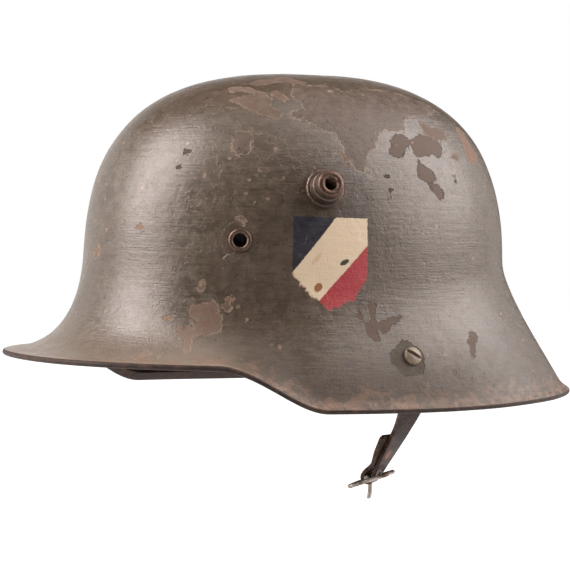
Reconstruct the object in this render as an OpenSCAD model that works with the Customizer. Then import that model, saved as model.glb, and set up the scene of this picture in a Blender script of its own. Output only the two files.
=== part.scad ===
// Pressed steel helmet with a deep neck guard, side vent lugs, a padded liner
// and a buckled chin strap. Front is -X, the wearer's left is -Y, up is +Z.
// Z = 0 is the lower edge of the neck guard, and the crown is on the Z axis.
// Every "turn" is an angle round that axis, counted from the middle of the back.

/* [Dome] */
// Height of the crown above the neck guard's lower edge
shell_height = 174; // [165:0.5:185]
// Reach of the dome forward of the crown
dome_front = 120; // [114:0.5:124]
// Reach of the dome behind the crown
dome_rear = 113.8; // [108:0.2:118]
// Reach of the dome to each side
dome_side = 94; // [90:0.5:98]
// Squareness of the dome seen from above
dome_plan_power = 2.12; // [2:0.02:2.3]
// Fullness of the dome seen from the side
dome_profile_power = 2.72; // [2.4:0.02:3]
// Share by which the dome narrows towards its top
dome_taper = 0.046; // [0.02:0.002:0.08]
// Height where the brow turns from dome to visor
brow_height = 77.7; // [74:0.1:77.9]
// Height where the sides turn from dome to skirt
side_height = 67; // [62:0.5:74]
// Height where the back turns from dome to neck guard
nape_height = 77.3; // [74:0.1:77.9]

/* [Visor and neck guard] */
// Reach of the visor forward of the crown
rim_front = 162.8; // [156:0.2:168]
// Reach of the neck guard behind the crown
rim_rear = 154.3; // [148:0.1:162]
// Reach of the skirt to each side
rim_side = 117.7; // [114:0.1:121]
// Squareness of the rim seen from above
rim_plan_power = 2.25; // [2:0.05:2.4]
// Height of the visor's edge above the neck guard's lower edge
visor_rise = 21; // [16:0.5:26]
// Rise of the neck guard's edge at the back
nape_rise = 4.5; // [2:0.5:8]
// Turn at which the rim starts to step up to the visor
step_start = 110.5; // [104:0.5:116]
// Turn at which the step up to the visor ends
step_end = 135; // [128:1:142]
// Slope of the visor above its lip, in degrees below level
visor_slope = 12.5; // [8:0.5:20]
// Slope of the skirt above its lip at the sides
side_slope = 69.4; // [62:0.2:76]
// Slope of the neck guard above its lip at the back
nape_slope = 56.8; // [50:0.2:64]
// Width of the lip that turns out along the rim
lip_width = 8; // [6:0.5:10]
// Slope of the lip at the edge of the visor
visor_lip_slope = 1.5; // [0:0.5:8]
// Slope of the lip at the sides
side_lip_slope = 44; // [36:1:52]
// Slope of the lip at the back
nape_lip_slope = 25; // [18:1:36]

/* [Sheet and hem] */
// Thickness of the steel sheet
steel = 1.1; // [1:0.1:1.4]
// Thickness of the folded hem
hem_thick = 3; // [2.6:0.1:3.4]
// Width of the hem's inner fold
hem_width = 4.5; // [3:0.5:5]

/* [Vent lugs] */
// Turn of each lug
lug_turn = 111; // [104:1:116]
// Height of each lug
lug_height = 112.4; // [108:0.2:118]
// Diameter of the lug's flange
lug_flange_d = 20; // [18:0.5:22]
// Thickness of the lug's flange
lug_flange_thick = 2.2; // [1.8:0.1:2.6]
// Diameter of the lug's shoulder
lug_shoulder_d = 15.2; // [14:0.2:16]
// Height of the shoulder's face above the shell
lug_shoulder_height = 6.6; // [6:0.2:8]
// Diameter of the lug's tip
lug_tip_d = 10; // [9:0.2:11]
// Height of the lug's tip above the shell
lug_reach = 12; // [11:0.2:14]
// Diameter of the air bore
lug_bore_d = 6; // [5:0.2:7]
// Diameter of the shank that passes through the shell
lug_shank_d = 11; // [9:0.2:12]

/* [Liner pins] */
// Turn of the two front pins
front_pin_turn = 135; // [130:1:138]
// Outer diameter of a pin's ring
pin_flange_d = 12; // [11:0.2:13]
// Outer diameter of a pin's tube
pin_tube_d = 8.4; // [7.8:0.1:9]
// Diameter of a pin's open middle
pin_bore_d = 6.8; // [6:0.1:7.2]

/* [Liner] */
// Height of the middle of the liner band, where its pins are
band_height = 85.5; // [85.5:0.5:90]
// Width of the liner band
band_width = 15; // [13:0.5:15]
// Thickness of the liner band
band_thick = 1.2; // [0.8:0.1:1.6]
// Space between the liner band and the shell
band_space = 2.4; // [2:0.1:3]
// Thickness of the pads' leather
leather_thick = 1.8; // [1.4:0.1:2.2]
// Space between the shell and the pads where the head rests
head_space = 16; // [13:0.5:18]
// Fall from the crown at which the pads' tongues end, in degrees
tongue_end = 12; // [10:1:20]
// Diameter of a pad rivet's head
pad_rivet_d = 7; // [6:0.5:8]

/* [Strap fittings] */
// Turn of the two strap screws
screw_turn = 84.6; // [80:0.2:88]
// Height of the strap screws
screw_height = 28; // [28:0.5:31]
// Diameter of a screw's head
screw_head_d = 9.7; // [9:0.1:10.5]
// Height of a screw's head
screw_head_height = 3.4; // [3:0.1:4]
// Diameter of a screw's shank
screw_shank_d = 5; // [4:0.2:6]
// Width of the screw's slot
slot_width = 1.1; // [0.8:0.1:1.4]
// Turn of the slot on the head
slot_turn = 56; // [0:1:180]
// Width of the bracket that holds a strap ring
bracket_width = 12; // [11:0.5:13]
// Distance from the screw down to the bracket's eye
bracket_drop = 10; // [9.5:0.5:12]
// Thickness of the bracket's plate
bracket_thick = 1.5; // [1.2:0.1:1.8]
// Diameter of a ring's wire
ring_wire_d = 2.6; // [2.2:0.1:2.8]
// Clear width inside a ring
ring_width = 17; // [16.5:0.5:19]
// Distance between a ring's two bars
ring_drop = 11; // [10.5:0.5:12]

/* [Chin strap] */
// Width of the strap
strap_width = 14; // [12:0.5:16]
// Thickness of the strap
strap_thick = 2.2; // [1.8:0.1:2.4]
// Length of the strap between its ring and its buckle
strap_length = 47.5; // [40:0.5:60]
// Lean of the strap inwards at its ring, in degrees
lean_top = 35; // [20:1:36]
// Lean of the strap inwards at its buckle
lean_end = 26; // [20:1:36]
// Twist of the strap from its ring to its buckle
strap_twist = 45; // [20:1:52]
// Length of the strap's tail that is folded back
tail_length = 25; // [20:1:32]
// Bulge of the folded tail away from the strap
tail_bulge = 0.4; // [0:0.2:3]
// Diameter of the buckle's wire
buckle_wire_d = 2.2; // [2:0.1:2.4]
// Clear width inside the buckle
buckle_width = 17; // [16.5:0.5:19]
// Distance between the buckle's two outer bars
buckle_length = 20.6; // [18.5:0.1:23]
// Slope of the buckle, down to its inner side
buckle_slope = 20; // [8:1:22]
// Height of the buckle's middle bar above its frame
bar_lift = 1.6; // [0:0.2:1.8]
// Diameter of the prong's wire
prong_wire_d = 1.8; // [1.5:0.1:2]
// Length of the prong
prong_length = 11.5; // [9:0.5:12]

/* [Hidden] */

$fn = 48;
// Pull of the visor's, the sides' and the back's curves, as shares of their length
pull_start = [0.45, 0.40, 0.22];
pull_end = [0.42, 0.30, 0.36];
// Meridians round the shell, and rows down its dome and its flare
meridians = 72;
dome_rows = 11;
flare_rows = 8;
lip_rows = 2;
// Room that the wall's facets take between the true curve and a seated piece
wall_room = 0.45;
// Clearance between pieces that lie on each other, and round a shank
seat_gap = 0.1;
shank_gap = 0.1;
// Radial clearance of a hinge bar in its bore, and of a soft loop on its bar
bore_gap = 0.07;
loop_gap = 0.4;
// Thickness of washers, of a riveted-over end, and its overhang past the shank
washer_thick = 1.4;
rivet_over = 1;
rivet_lip = 1.6;
rear_pin_turn = 0;
pin_turns = [-front_pin_turn, front_pin_turn, rear_pin_turn];
pad_end_gap = 7;
pad_gap = 0.5;
pad_rivet_shank_d = 3;
pad_columns = 12;
pad_rows = 8;
pad_strip_share = 0.09;
cushion_columns = 14;
cushion_rows = 6;
cushion_gap = 3;
cushion_rise = 0.36;
// Front pad, left pad and right pad, each from one turn to another
front_pad_span = [front_pin_turn + pad_end_gap, 360 - front_pin_turn - pad_end_gap];
left_pad_span = [-front_pin_turn + pad_end_gap, -pad_end_gap];
right_pad_span = [pad_end_gap, front_pin_turn - pad_end_gap];
eye_wall = 1.3;
prong_eye_wall = 1.1;
prong_slot_gap = 0.7;
nut_thick = 4;
nut_across = 8;
corner_r = 3;
strap_top_return = 8;
strap_steps = 16;
loop_steps = 8;

paint = [0.36, 0.33, 0.29];
raw_steel = [0.55, 0.52, 0.47];
old_iron = [0.30, 0.26, 0.23];
tan_leather = [0.45, 0.30, 0.18];
dark_leather = [0.20, 0.15, 0.12];
linen = [0.66, 0.60, 0.48];

// Shape of the shell

function unit(v) = v / norm(v);
function smooth(x) = let (t = min(1, max(0, x))) t * t * (3 - 2 * t);

// Radius of a rounded oval that reaches front, rear and side
function oval(turn, front, rear, side, power) =
    let (c = cos(turn), s = abs(sin(turn)), a = c > 0 ? rear : front)
    pow(pow(abs(c) / a, power) + pow(s / side, power), -1 / power);

// Value that goes from the front's to the side's to the rear's
function around(turn, front, side, rear) =
    let (c = cos(turn)) side + ((c < 0 ? front : rear) - side) * c * c;

// 0 on the skirt and the neck guard, 1 on the visor
function visor_share(turn) =
    let (t = acos(cos(turn))) smooth((t - step_start) / (step_end - step_start));

function with_visor(turn, visor, side, rear) =
    let (v = visor_share(turn)) v * visor + (1 - v) * around(turn, side, side, rear);

function wall_radius(turn) = oval(turn, dome_front, dome_rear, dome_side, dome_plan_power);
function wall_height(turn) = around(turn, brow_height, side_height, nape_height);

// Fall of a height on the dome: 0 on the crown, 90 at the wall and one more per mm below it
function dome_fall(turn, z) =
    let (w = wall_height(turn), share = max(0, z - w) / (shell_height - w))
    z < w ? 90 + w - z : acos(pow(share, dome_profile_power / 2));

// [radius, height] on the dome at a fall
function dome_point(turn, fall) =
    let (f = min(90, fall), w = wall_height(turn), rise = pow(cos(f), 2 / dome_profile_power))
    [wall_radius(turn) * pow(sin(f), 2 / dome_profile_power) * (1 - dome_taper * rise),
        w + (shell_height - w) * rise - (fall - f)];

function flare_slope(turn) = with_visor(turn, visor_slope, side_slope, nape_slope);
function lip_slope(turn) = with_visor(turn, visor_lip_slope, side_lip_slope, nape_lip_slope);

// Start of the lip, set back from the hem's round edge, which reaches the rim's sizes
function lip_start(turn) =
    let (end = lip_slope(turn), mean = (flare_slope(turn) + end) / 2, bead = hem_thick / 2)
    [oval(turn, rim_front, rim_rear, rim_side, rim_plan_power)
            - bead * (1 - sin(end)) - lip_width * cos(mean),
        with_visor(turn, visor_rise, 0, nape_rise)
            + bead * (1 + cos(end)) + lip_width * sin(mean)];

// [radius, height] across the lip, from 0 at its start to 1 at the hem
function lip_point(turn, t) =
    let (a = flare_slope(turn) * (1 - t / 2) + lip_slope(turn) * t / 2)
    lip_start(turn) + lip_width * t * [cos(a), -sin(a)];
function lip_in(turn, t) =
    let (a = flare_slope(turn) * (1 - t) + lip_slope(turn) * t) [-sin(a), -cos(a)];

// [radius, height] on the visor, skirt or neck guard, from 0 at the wall to 1 at the lip
function flare_point(turn, t) =
    let (r0 = wall_radius(turn), z0 = wall_height(turn), slope = flare_slope(turn),
        p3 = lip_start(turn), h = z0 - p3[1], len = norm([h, p3[0] - r0]),
        k0 = with_visor(turn, pull_start[0], pull_start[1], pull_start[2]) * h,
        k1 = with_visor(turn, pull_end[0], pull_end[1], pull_end[2]) * len,
        p0 = [r0, z0], p1 = [r0 + k0 * dome_taper * r0 / (shell_height - z0), z0 - k0],
        p2 = p3 - k1 * [cos(slope), -sin(slope)], u = 1 - t)
    u * u * u * p0 + 3 * u * u * t * p1 + 3 * u * t * t * p2 + t * t * t * p3;

// Share of the flare that lies at a given height, by halving
function flare_share(turn, z, low = 0, high = 1, left = 18) =
    let (mid = (low + high) / 2)
    left == 0 ? mid
    : flare_point(turn, mid)[1] > z ? flare_share(turn, z, mid, high, left - 1)
    : flare_share(turn, z, low, mid, left - 1);

function dome_radius(turn, z) =
    let (w = wall_height(turn), rise = max(0, z - w) / (shell_height - w),
        m = dome_profile_power)
    wall_radius(turn) * pow(1 - pow(rise, m), 1 / m) * (1 - dome_taper * rise);

function skin_radius(turn, z) =
    z > wall_height(turn) ? dome_radius(turn, z) : flare_point(turn, flare_share(turn, z))[0];

function polar(turn, rz) = [rz[0] * cos(turn), rz[0] * sin(turn), rz[1]];
function skin(turn, z) = polar(turn, [skin_radius(turn, z), z]);
function skin_normal(turn, z) =
    unit(cross(skin(turn + 1, z) - skin(turn - 1, z), skin(turn, z + 1) - skin(turn, z - 1)));

// Direction into the shell, square to a stretch of its profile
function inward(a, b) = let (d = unit(b - a)) [d[1], -d[0]];

// Outer profile of one meridian, from the first row under the crown to the lip
function outer_line(turn) = concat(
    [for (i = [1:dome_rows]) dome_point(turn, 90 * i / dome_rows)],
    [for (j = [1:flare_rows]) flare_point(turn, j / flare_rows)]);

// Whole profile of one meridian: outside, round the hem, up its fold and the inside
function shell_line(turn) =
    let (out = outer_line(turn), n = len(out), bead = hem_thick / 2,
        in = lip_in(turn, 1), along = [-in[1], in[0]],
        middle = lip_point(turn, 1) + in * bead,
        fold = 1 - hem_width / lip_width, step = fold - steel / lip_width)
    concat(
        out,
        [for (i = [1:lip_rows]) lip_point(turn, i / lip_rows)],
        [for (a = [45:45:180]) middle + bead * (along * sin(a) - in * cos(a))],
        [lip_point(turn, fold) + lip_in(turn, fold) * hem_thick,
            lip_point(turn, step) + lip_in(turn, step) * steel],
        [lip_point(turn, 0) + lip_in(turn, 0) * steel],
        [for (i = [n - 2:-1:0])
            out[i] + steel * inward(i == 0 ? [0, shell_height] : out[i - 1], out[i + 1])]);

// Triangles of a grid of points that closes round on itself and ends in two poles
function round_faces(columns, rows) = concat(
    [for (k = [0:columns - 1]) [columns * rows, ((k + 1) % columns) * rows, k * rows]],
    [for (k = [0:columns - 1]) for (j = [0:rows - 2])
        let (a = k * rows + j, d = ((k + 1) % columns) * rows + j)
        each [[a, d, d + 1], [a, d + 1, a + 1]]],
    [for (k = [0:columns - 1])
        [k * rows + rows - 1, ((k + 1) % columns) * rows + rows - 1, columns * rows + 1]]);

// Closed solid between two grids of points, with the first grid on its outer side
module sheet(front, back) {
    nu = len(front);
    nv = len(front[0]);
    total = nu * nv;
    points = concat([for (row = front) each row], [for (row = back) each row]);
    faces = concat(
        [for (u = [0:nu - 2]) for (v = [0:nv - 2])
            let (a = u * nv + v, b = a + 1, c = a + nv + 1, d = a + nv)
            each [[a, b, c], [a, c, d], [total + a, total + c, total + b],
                [total + a, total + d, total + c]]],
        [for (u = [0:nu - 2]) for (v = [0, nv - 1])
            let (a = u * nv + v, d = a + nv, f = v == 0)
            each f ? [[a, d, total + d], [a, total + d, total + a]]
                : [[a, total + d, d], [a, total + a, total + d]]],
        [for (v = [0:nv - 2]) for (u = [0, nu - 1])
            let (a = u * nv + v, b = a + 1, f = u == 0)
            each f ? [[a, total + b, b], [a, total + a, total + b]]
                : [[a, b, total + b], [a, total + b, total + a]]]);
    polyhedron(points = points, faces = faces, convexity = 6);
}

// Places its children on the outer skin, with their Z pointing out and their X down it
module on_skin(turn, z) {
    n = skin_normal(turn, z);
    translate(skin(turn, z)) rotate([0, acos(n[2]), atan2(n[1], n[0])]) children();
}

// Depth below the skin at which a flat washer of a given radius clears the inner wall
function seat_depth(r) = steel + r * r / (2 * dome_side) + wall_room;

// Hole through whatever lies between the skin and the wearer's head
module hole(d) {
    reach = steel + head_space;
    translate([0, 0, -reach]) cylinder(d = d, h = 2 * reach);
}

module washer(outer_d, inner_d, top, thick) {
    difference() {
        translate([0, 0, -top - thick]) cylinder(d = outer_d, h = thick);
        translate([0, 0, -top - thick - 1]) cylinder(d = inner_d, h = thick + 2);
    }
}

// Steel shell
module steel_shell() {
    lines = [for (k = [0:meridians - 1]) let (t = 360 * k / meridians)
        [for (rz = shell_line(t)) polar(t, rz)]];
    rows = len(lines[0]);
    color(paint) difference() {
        polyhedron(
            points = concat([for (line = lines) each line],
                [[0, 0, shell_height], [0, 0, shell_height - steel]]),
            faces = round_faces(meridians, rows), convexity = 8);
        for (side = [-1, 1]) {
            on_skin(side * lug_turn, lug_height) hole(lug_shank_d + 2 * shank_gap);
            on_skin(side * screw_turn, screw_height) hole(screw_shank_d + 2 * shank_gap);
        }
        for (turn = pin_turns)
            on_skin(turn, band_height) hole(pin_tube_d + 2 * shank_gap);
    }
}

// Vent lugs, riveted over a washer inside the shell
lug_washer_d = 18;
lug_washer_top = seat_depth(lug_washer_d / 2);
lug_end = lug_washer_top + washer_thick + seat_gap;

module vent_lug(side) {
    r0 = lug_bore_d / 2;
    r1 = lug_tip_d / 2;
    r2 = lug_shoulder_d / 2;
    r3 = lug_flange_d / 2;
    rs = lug_shank_d / 2;
    soft = 0.7;
    color(old_iron) on_skin(side * lug_turn, lug_height) rotate_extrude()
        polygon([
            [r0, -lug_end - rivet_over], [rs + rivet_lip - 0.4, -lug_end - rivet_over],
            [rs + rivet_lip, -lug_end - rivet_over + 0.4], [rs + rivet_lip, -lug_end],
            [rs, -lug_end], [rs, 0], [r3, 0], [r3, lug_flange_thick - soft],
            [r3 - soft, lug_flange_thick], [r2, lug_flange_thick + 0.2],
            [r2, lug_shoulder_height - soft], [r2 - soft, lug_shoulder_height],
            [r1 + 0.3, lug_shoulder_height], [r1, lug_shoulder_height + 0.3],
            [r1, lug_reach - soft], [r1 - soft, lug_reach], [r0 + soft / 2, lug_reach],
            [r0, lug_reach - soft / 2]]);
}

module vent_lug_washers() {
    color(old_iron) for (side = [-1, 1]) on_skin(side * lug_turn, lug_height)
        washer(lug_washer_d, lug_shank_d + 2 * shank_gap, lug_washer_top, washer_thick);
}

// Hollow pins that hold the liner band, with a spacer and a washer each
spacer_top = seat_depth(pin_flange_d / 2);
spacer_thick = steel + band_space - seat_gap - spacer_top;
pin_washer_top = steel + band_space + band_thick + wall_room
    + pin_flange_d * pin_flange_d / (8 * dome_side);
pin_washer_thick = 1;
pin_end = pin_washer_top + pin_washer_thick + seat_gap;

module liner_pins() {
    r0 = pin_bore_d / 2;
    r1 = pin_tube_d / 2;
    r2 = pin_flange_d / 2;
    rim = 1.1;
    color(old_iron) for (turn = pin_turns) on_skin(turn, band_height) rotate_extrude()
        polygon([
            [r0, -pin_end - rivet_over], [r1 + 0.6, -pin_end - rivet_over],
            [r1 + 1, -pin_end - rivet_over / 2], [r1 + 1, -pin_end], [r1, -pin_end], [r1, 0],
            [r2, 0], [r2, rim * 0.4], [r2 - 0.5, rim * 0.85], [r2 - 1.2, rim],
            [r0 + 0.8, rim * 0.9], [r0 + 0.2, rim * 0.5], [r0, 0]]);
}

module liner_pin_spacers() {
    color(old_iron) for (turn = pin_turns) on_skin(turn, band_height)
        washer(pin_flange_d, pin_tube_d + 2 * shank_gap, spacer_top, spacer_thick);
}

module liner_pin_washers() {
    color(old_iron) for (turn = pin_turns) on_skin(turn, band_height)
        washer(pin_flange_d, pin_tube_d + 2 * shank_gap, pin_washer_top, pin_washer_thick);
}

// Steel band inside the dome that carries the pads
function pad_rivet_turns(span) =
    [for (share = [0.12, 0.38, 0.62, 0.88]) span[0] + (span[1] - span[0]) * share];

module liner_band() {
    low = band_height - band_width / 2;
    high = band_height + band_width / 2;
    function ring(turn, depth) =
        [for (z = [low, band_height, high]) polar(turn, [dome_radius(turn, z) - depth, z])];
    outer = steel + band_space;
    inner = outer + band_thick;
    sections = [for (k = [0:meridians - 1]) let (t = 360 * k / meridians, i = ring(t, inner))
        concat(ring(t, outer), [i[2], i[1], i[0]])];
    count = len(sections[0]);
    color(old_iron) difference() {
        polyhedron(
            points = [for (section = sections) each section],
            faces = [for (k = [0:meridians - 1]) for (j = [0:count - 1])
                let (m = (k + 1) % meridians, n = (j + 1) % count,
                    a = k * count + j, b = k * count + n, c = m * count + n, d = m * count + j)
                each [[a, c, d], [a, b, c]]],
            convexity = 4);
        for (turn = pin_turns)
            on_skin(turn, band_height) hole(pin_tube_d + 2 * shank_gap);
        for (span = [front_pad_span, left_pad_span, right_pad_span])
            for (turn = pad_rivet_turns(span))
                on_skin(turn, band_height) hole(pad_rivet_shank_d + 2 * shank_gap);
    }
}

// Leather pads: a strip on the band with two tongues that reach up under the crown
pad_base = band_space + band_thick + pad_gap;
pad_low = band_height - band_width / 2 + 1;

// Share of the way from a pad's lower edge to the end of its tongue
function pad_share(turn, z) =
    let (start = dome_fall(turn, pad_low)) (start - dome_fall(turn, z)) / (start - tongue_end);

// [radius, height] on a pad's back, moved in by a given depth
function pad_point(turn, share, depth) =
    let (start = dome_fall(turn, pad_low), fall = start + (tongue_end - start) * share,
        next = max(fall + 0.05, min(89.9, fall + 1)),
        in = inward(dome_point(turn, fall - 1), dome_point(turn, next)))
    polar(turn, dome_point(turn, fall) + in * (steel + depth));

// Depth of a pad's back below the shell's inner wall
function pad_depth(share) =
    pad_base + (head_space - pad_base) * smooth((share - pad_strip_share) / 0.26);

// Top of the pad across one tongue, from x = 0 to 1
function tongue_top(x) =
    pad_strip_share + (1 - pad_strip_share) * pow(1 - pow(abs(2 * x - 1), 4), 1 / 3);

module pad(span) {
    columns = [for (i = [0:2 * pad_columns])
        let (tongue = i > pad_columns ? 1 : 0, x = (1 - cos(180 * (i - tongue * pad_columns)
            / pad_columns)) / 2)
        [span[0] + (span[1] - span[0]) * (tongue + x) / 2, tongue_top(x)]];
    function face(extra) = [for (c = columns) [for (j = [0:pad_rows])
        let (share = c[1] * pow(j / pad_rows, 1.6))
        pad_point(c[0], share, pad_depth(share) + extra)]];
    color(tan_leather) difference() {
        sheet(face(0), face(leather_thick));
        for (turn = pad_rivet_turns(span))
            on_skin(turn, band_height) hole(pad_rivet_shank_d + 2 * shank_gap);
    }
}

// Rivets that hold the pads to the band, headed over the leather
module pad_rivets() {
    tail_top = steel + band_space - seat_gap - 1;
    face = steel + pad_base + leather_thick;
    dish = pad_rivet_d * pad_rivet_d / (8 * dome_side) + seat_gap + 0.2;
    r = pad_rivet_d / 2;
    rs = pad_rivet_shank_d / 2;
    color(old_iron) for (span = [front_pad_span, left_pad_span, right_pad_span])
        for (turn = pad_rivet_turns(span)) on_skin(turn, band_height) rotate_extrude()
            polygon([[0, -tail_top], [rs + 1, -tail_top], [rs + 1, -tail_top - 0.8],
                [rs, -tail_top - 0.8], [rs, -face - dish], [r, -face - dish],
                [r, -face - dish - 0.4], [r * 0.7, -face - dish - 1.1],
                [0, -face - dish - 1.4]]);
}

// Stuffed linen cushions in the pads' pockets, behind the leather and above the lugs' washers
cushion_low = pad_share(lug_turn, lug_height + lug_washer_d / 2 + cushion_gap);

module cushion(span) {
    ends = 6;
    function crown(u, v) = 0.3 + 0.7 * sqrt((1 - pow(2 * u - 1, 6)) * (1 - pow(2 * v - 1, 4)));
    function place(i, j, side) =
        let (u = i / cushion_columns, v = j / cushion_rows,
            pinch = 0.02 * (1 - pow(2 * u - 1, 2)) * (2 * v - 1),
            turn = span[0] + ends + (span[1] - span[0] - 2 * ends) * u,
            share = cushion_low + cushion_rise * v + pinch,
            front = wall_room + loop_gap, back = pad_depth(share) - 2 * loop_gap)
        pad_point(turn, share, (front + back) / 2 + side * (back - front) / 2 * crown(u, v));
    function face(side) =
        [for (i = [0:cushion_columns]) [for (j = [0:cushion_rows]) place(i, j, side)]];
    color(linen) sheet(face(-1), face(1));
}

// Slotted screws that hold the strap fittings, with square nuts inside
bracket_top = steel + 0.3;
nut_top = bracket_top + bracket_thick + seat_gap;

module strap_screws() {
    r = screw_head_d / 2;
    rs = screw_shank_d / 2;
    crown_r = (r * r + screw_head_height * screw_head_height) / (2 * screw_head_height);
    edge = 0.9;
    color(raw_steel) for (side = [-1, 1]) on_skin(side * screw_turn, screw_height)
        difference() {
            rotate_extrude() polygon(concat(
                [[0, -nut_top - nut_thick - 1.5], [rs - 0.4, -nut_top - nut_thick - 1.5],
                    [rs, -nut_top - nut_thick - 1.1], [rs, 0], [r, 0], [r, edge]],
                [for (a = [15:15:90]) [r * cos(a), edge + (screw_head_height - edge) * sin(a)]]));
            rotate([0, 0, slot_turn])
                translate([-r - 1, -slot_width / 2, screw_head_height - 1.6])
                cube([2 * r + 2, slot_width, 4]);
        }
}

module strap_screw_nuts() {
    color(old_iron) for (side = [-1, 1]) on_skin(side * screw_turn, screw_height)
        difference() {
            translate([-nut_across / 2, -nut_across / 2, -nut_top - nut_thick])
                cube([nut_across, nut_across, nut_thick]);
            hole(screw_shank_d + 2 * shank_gap);
        }
}

// Bracket: a plate under the screw, with an eye for the ring's upper bar
eye_d = ring_wire_d + 2 * bore_gap;
eye_outer_d = eye_d + 2 * eye_wall;
eye_depth = bracket_top + eye_outer_d / 2;

module strap_bracket(side) {
    color(old_iron) on_skin(side * screw_turn, screw_height) difference() {
        union() {
            translate([-bracket_width / 2, -bracket_width / 2, -bracket_top - bracket_thick])
                cube([bracket_width / 2 + bracket_drop, bracket_width, bracket_thick]);
            translate([bracket_drop, bracket_width / 2, -eye_depth]) rotate([90, 0, 0])
                cylinder(d = eye_outer_d, h = bracket_width);
        }
        hole(screw_shank_d + 2 * shank_gap);
        translate([bracket_drop, bracket_width / 2 + 1, -eye_depth]) rotate([90, 0, 0])
            cylinder(d = eye_d, h = bracket_width + 2);
    }
}

// Middle of the bracket's eye, and the turn of its bore about the vertical
function eye_point(turn) =
    let (n = skin_normal(turn, screw_height), f = acos(n[2]), h = atan2(n[1], n[0]),
        down = [cos(f) * cos(h), cos(f) * sin(h), -sin(f)])
    skin(turn, screw_height) + down * bracket_drop - n * eye_depth;
function eye_turn(turn) =
    let (n = skin_normal(turn, screw_height)) atan2(n[1], n[0]) + 90;

// Closed wire loop with round corners, lying in XZ with its top bar on the X axis
module wire_loop(width, drop, d) {
    half = width / 2 + d / 2;
    run = half - corner_r;
    fall = drop - 2 * corner_r;
    for (z = [0, -drop]) translate([-run, 0, z]) rotate([0, 90, 0]) cylinder(d = d, h = 2 * run);
    for (x = [-half, half]) translate([x, 0, -drop + corner_r]) cylinder(d = d, h = fall);
    for (c = [[run, -corner_r, 0], [-run, -corner_r, 90], [-run, corner_r - drop, 180],
        [run, corner_r - drop, 270]])
        translate([c[0], 0, c[1]]) rotate([90, 0, 0]) rotate([0, 0, c[2]])
            rotate_extrude(angle = 90) translate([corner_r, 0]) circle(d = d);
}

module strap_ring(side) {
    turn = side * screw_turn;
    color(old_iron) translate(eye_point(turn)) rotate([0, 0, eye_turn(turn)])
        wire_loop(ring_width, ring_drop, ring_wire_d);
}

// Chin strap of the left side. It leans in from its ring and twists towards its buckle.
ring_bar = eye_point(-screw_turn) - [0, 0, ring_drop];
top_turn = eye_turn(-screw_turn);
top_loop_r = ring_wire_d / 2 + loop_gap + strap_thick / 2;
end_loop_r = buckle_wire_d / 2 + loop_gap + strap_thick / 2;

function lean(s) = lean_top + (lean_end - lean_top) * s;
function across(s) = let (t = top_turn + strap_twist * s) [cos(t), sin(t), 0];
function to_head(s) = let (t = top_turn + strap_twist * s) [-sin(t), cos(t), 0];
function along(s) = to_head(s) * sin(lean(s)) - [0, 0, cos(lean(s))];
function facing(s) = to_head(s) * cos(lean(s)) + [0, 0, sin(lean(s))];

// Middle of the strap at a share of its length, as the sum of its short steps
function strap_sum(i) =
    i == 0 ? ring_bar - facing(0) * top_loop_r
    : strap_sum(i - 1) + along((i - 0.5) / strap_steps) * strap_length / strap_steps;
strap_line = [for (i = [0:strap_steps]) strap_sum(i)];
buckle_bar = strap_line[strap_steps] + facing(1) * end_loop_r;

function strap_at(s) =
    let (i = min(strap_steps - 1, floor(s * strap_steps)), f = s * strap_steps - i)
    strap_line[i] * (1 - f) + strap_line[i + 1] * f;

// Half width of the strap at a distance from one of its round ends
function half_width(x) =
    let (r = strap_width / 2, t = min(1, x / r)) r * sqrt(max(0.04, 1 - (1 - t) * (1 - t)));

// Stations of the strap: middle, inner normal, direction across, half width
function strap_stations() = concat(
    [for (i = [5:-1:1]) let (x = strap_top_return * i / 5, s = x / strap_length,
        away = strap_thick + loop_gap
            + (2 * top_loop_r - strap_thick - loop_gap) * (1 - smooth(x / strap_top_return)))
        [strap_at(s) + facing(s) * away, -facing(s), across(s), strap_width / 2]],
    [for (i = [loop_steps:-1:1]) let (b = 180 * i / loop_steps,
        n = facing(0) * cos(b) + along(0) * sin(b))
        [ring_bar - n * top_loop_r, n, across(0), strap_width / 2]],
    [for (i = [0:strap_steps - 1]) let (s = i / strap_steps)
        [strap_at(s), facing(s), across(s), strap_width / 2]],
    [for (i = [0:loop_steps]) let (b = 180 * i / loop_steps,
        n = facing(1) * cos(b) - along(1) * sin(b))
        [buckle_bar - n * end_loop_r, n, across(1), strap_width / 2]],
    [for (i = [1:strap_steps]) let (x = tail_length * i / strap_steps, s = 1 - x / strap_length,
        close = strap_thick + loop_gap, rest = 1 - smooth(x / tail_length),
        away = close + (2 * end_loop_r - close) * rest + tail_bulge * sin(180 * x / tail_length))
        [strap_at(s) + facing(s) * away, -facing(s), across(s), half_width(tail_length - x)]]);

// Prong's eye on the buckle's middle bar, which sits in a slot in the strap's fold
prong_eye_r = buckle_wire_d / 2 + bore_gap + prong_eye_wall;
prong_eye_width = prong_wire_d + 0.7;

module chin_strap() {
    stations = strap_stations();
    function face(side) = [for (t = stations)
        [for (e = [-1, 1]) t[0] + t[1] * side * strap_thick / 2 + t[2] * e * t[3]]];
    slot_top = prong_eye_r + prong_slot_gap;
    slot_low = end_loop_r + strap_thick;
    slot_half = [prong_eye_width / 2 + prong_slot_gap, end_loop_r + strap_thick];
    color(dark_leather) difference() {
        sheet(face(-1), face(1));
        translate(buckle_bar) rotate([0, 0, top_turn + strap_twist]) rotate([lean_end, 0, 0])
            translate([-slot_half[0], -slot_half[1], -slot_low])
            cube([2 * slot_half[0], 2 * slot_half[1], slot_low + slot_top]);
    }
}

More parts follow.
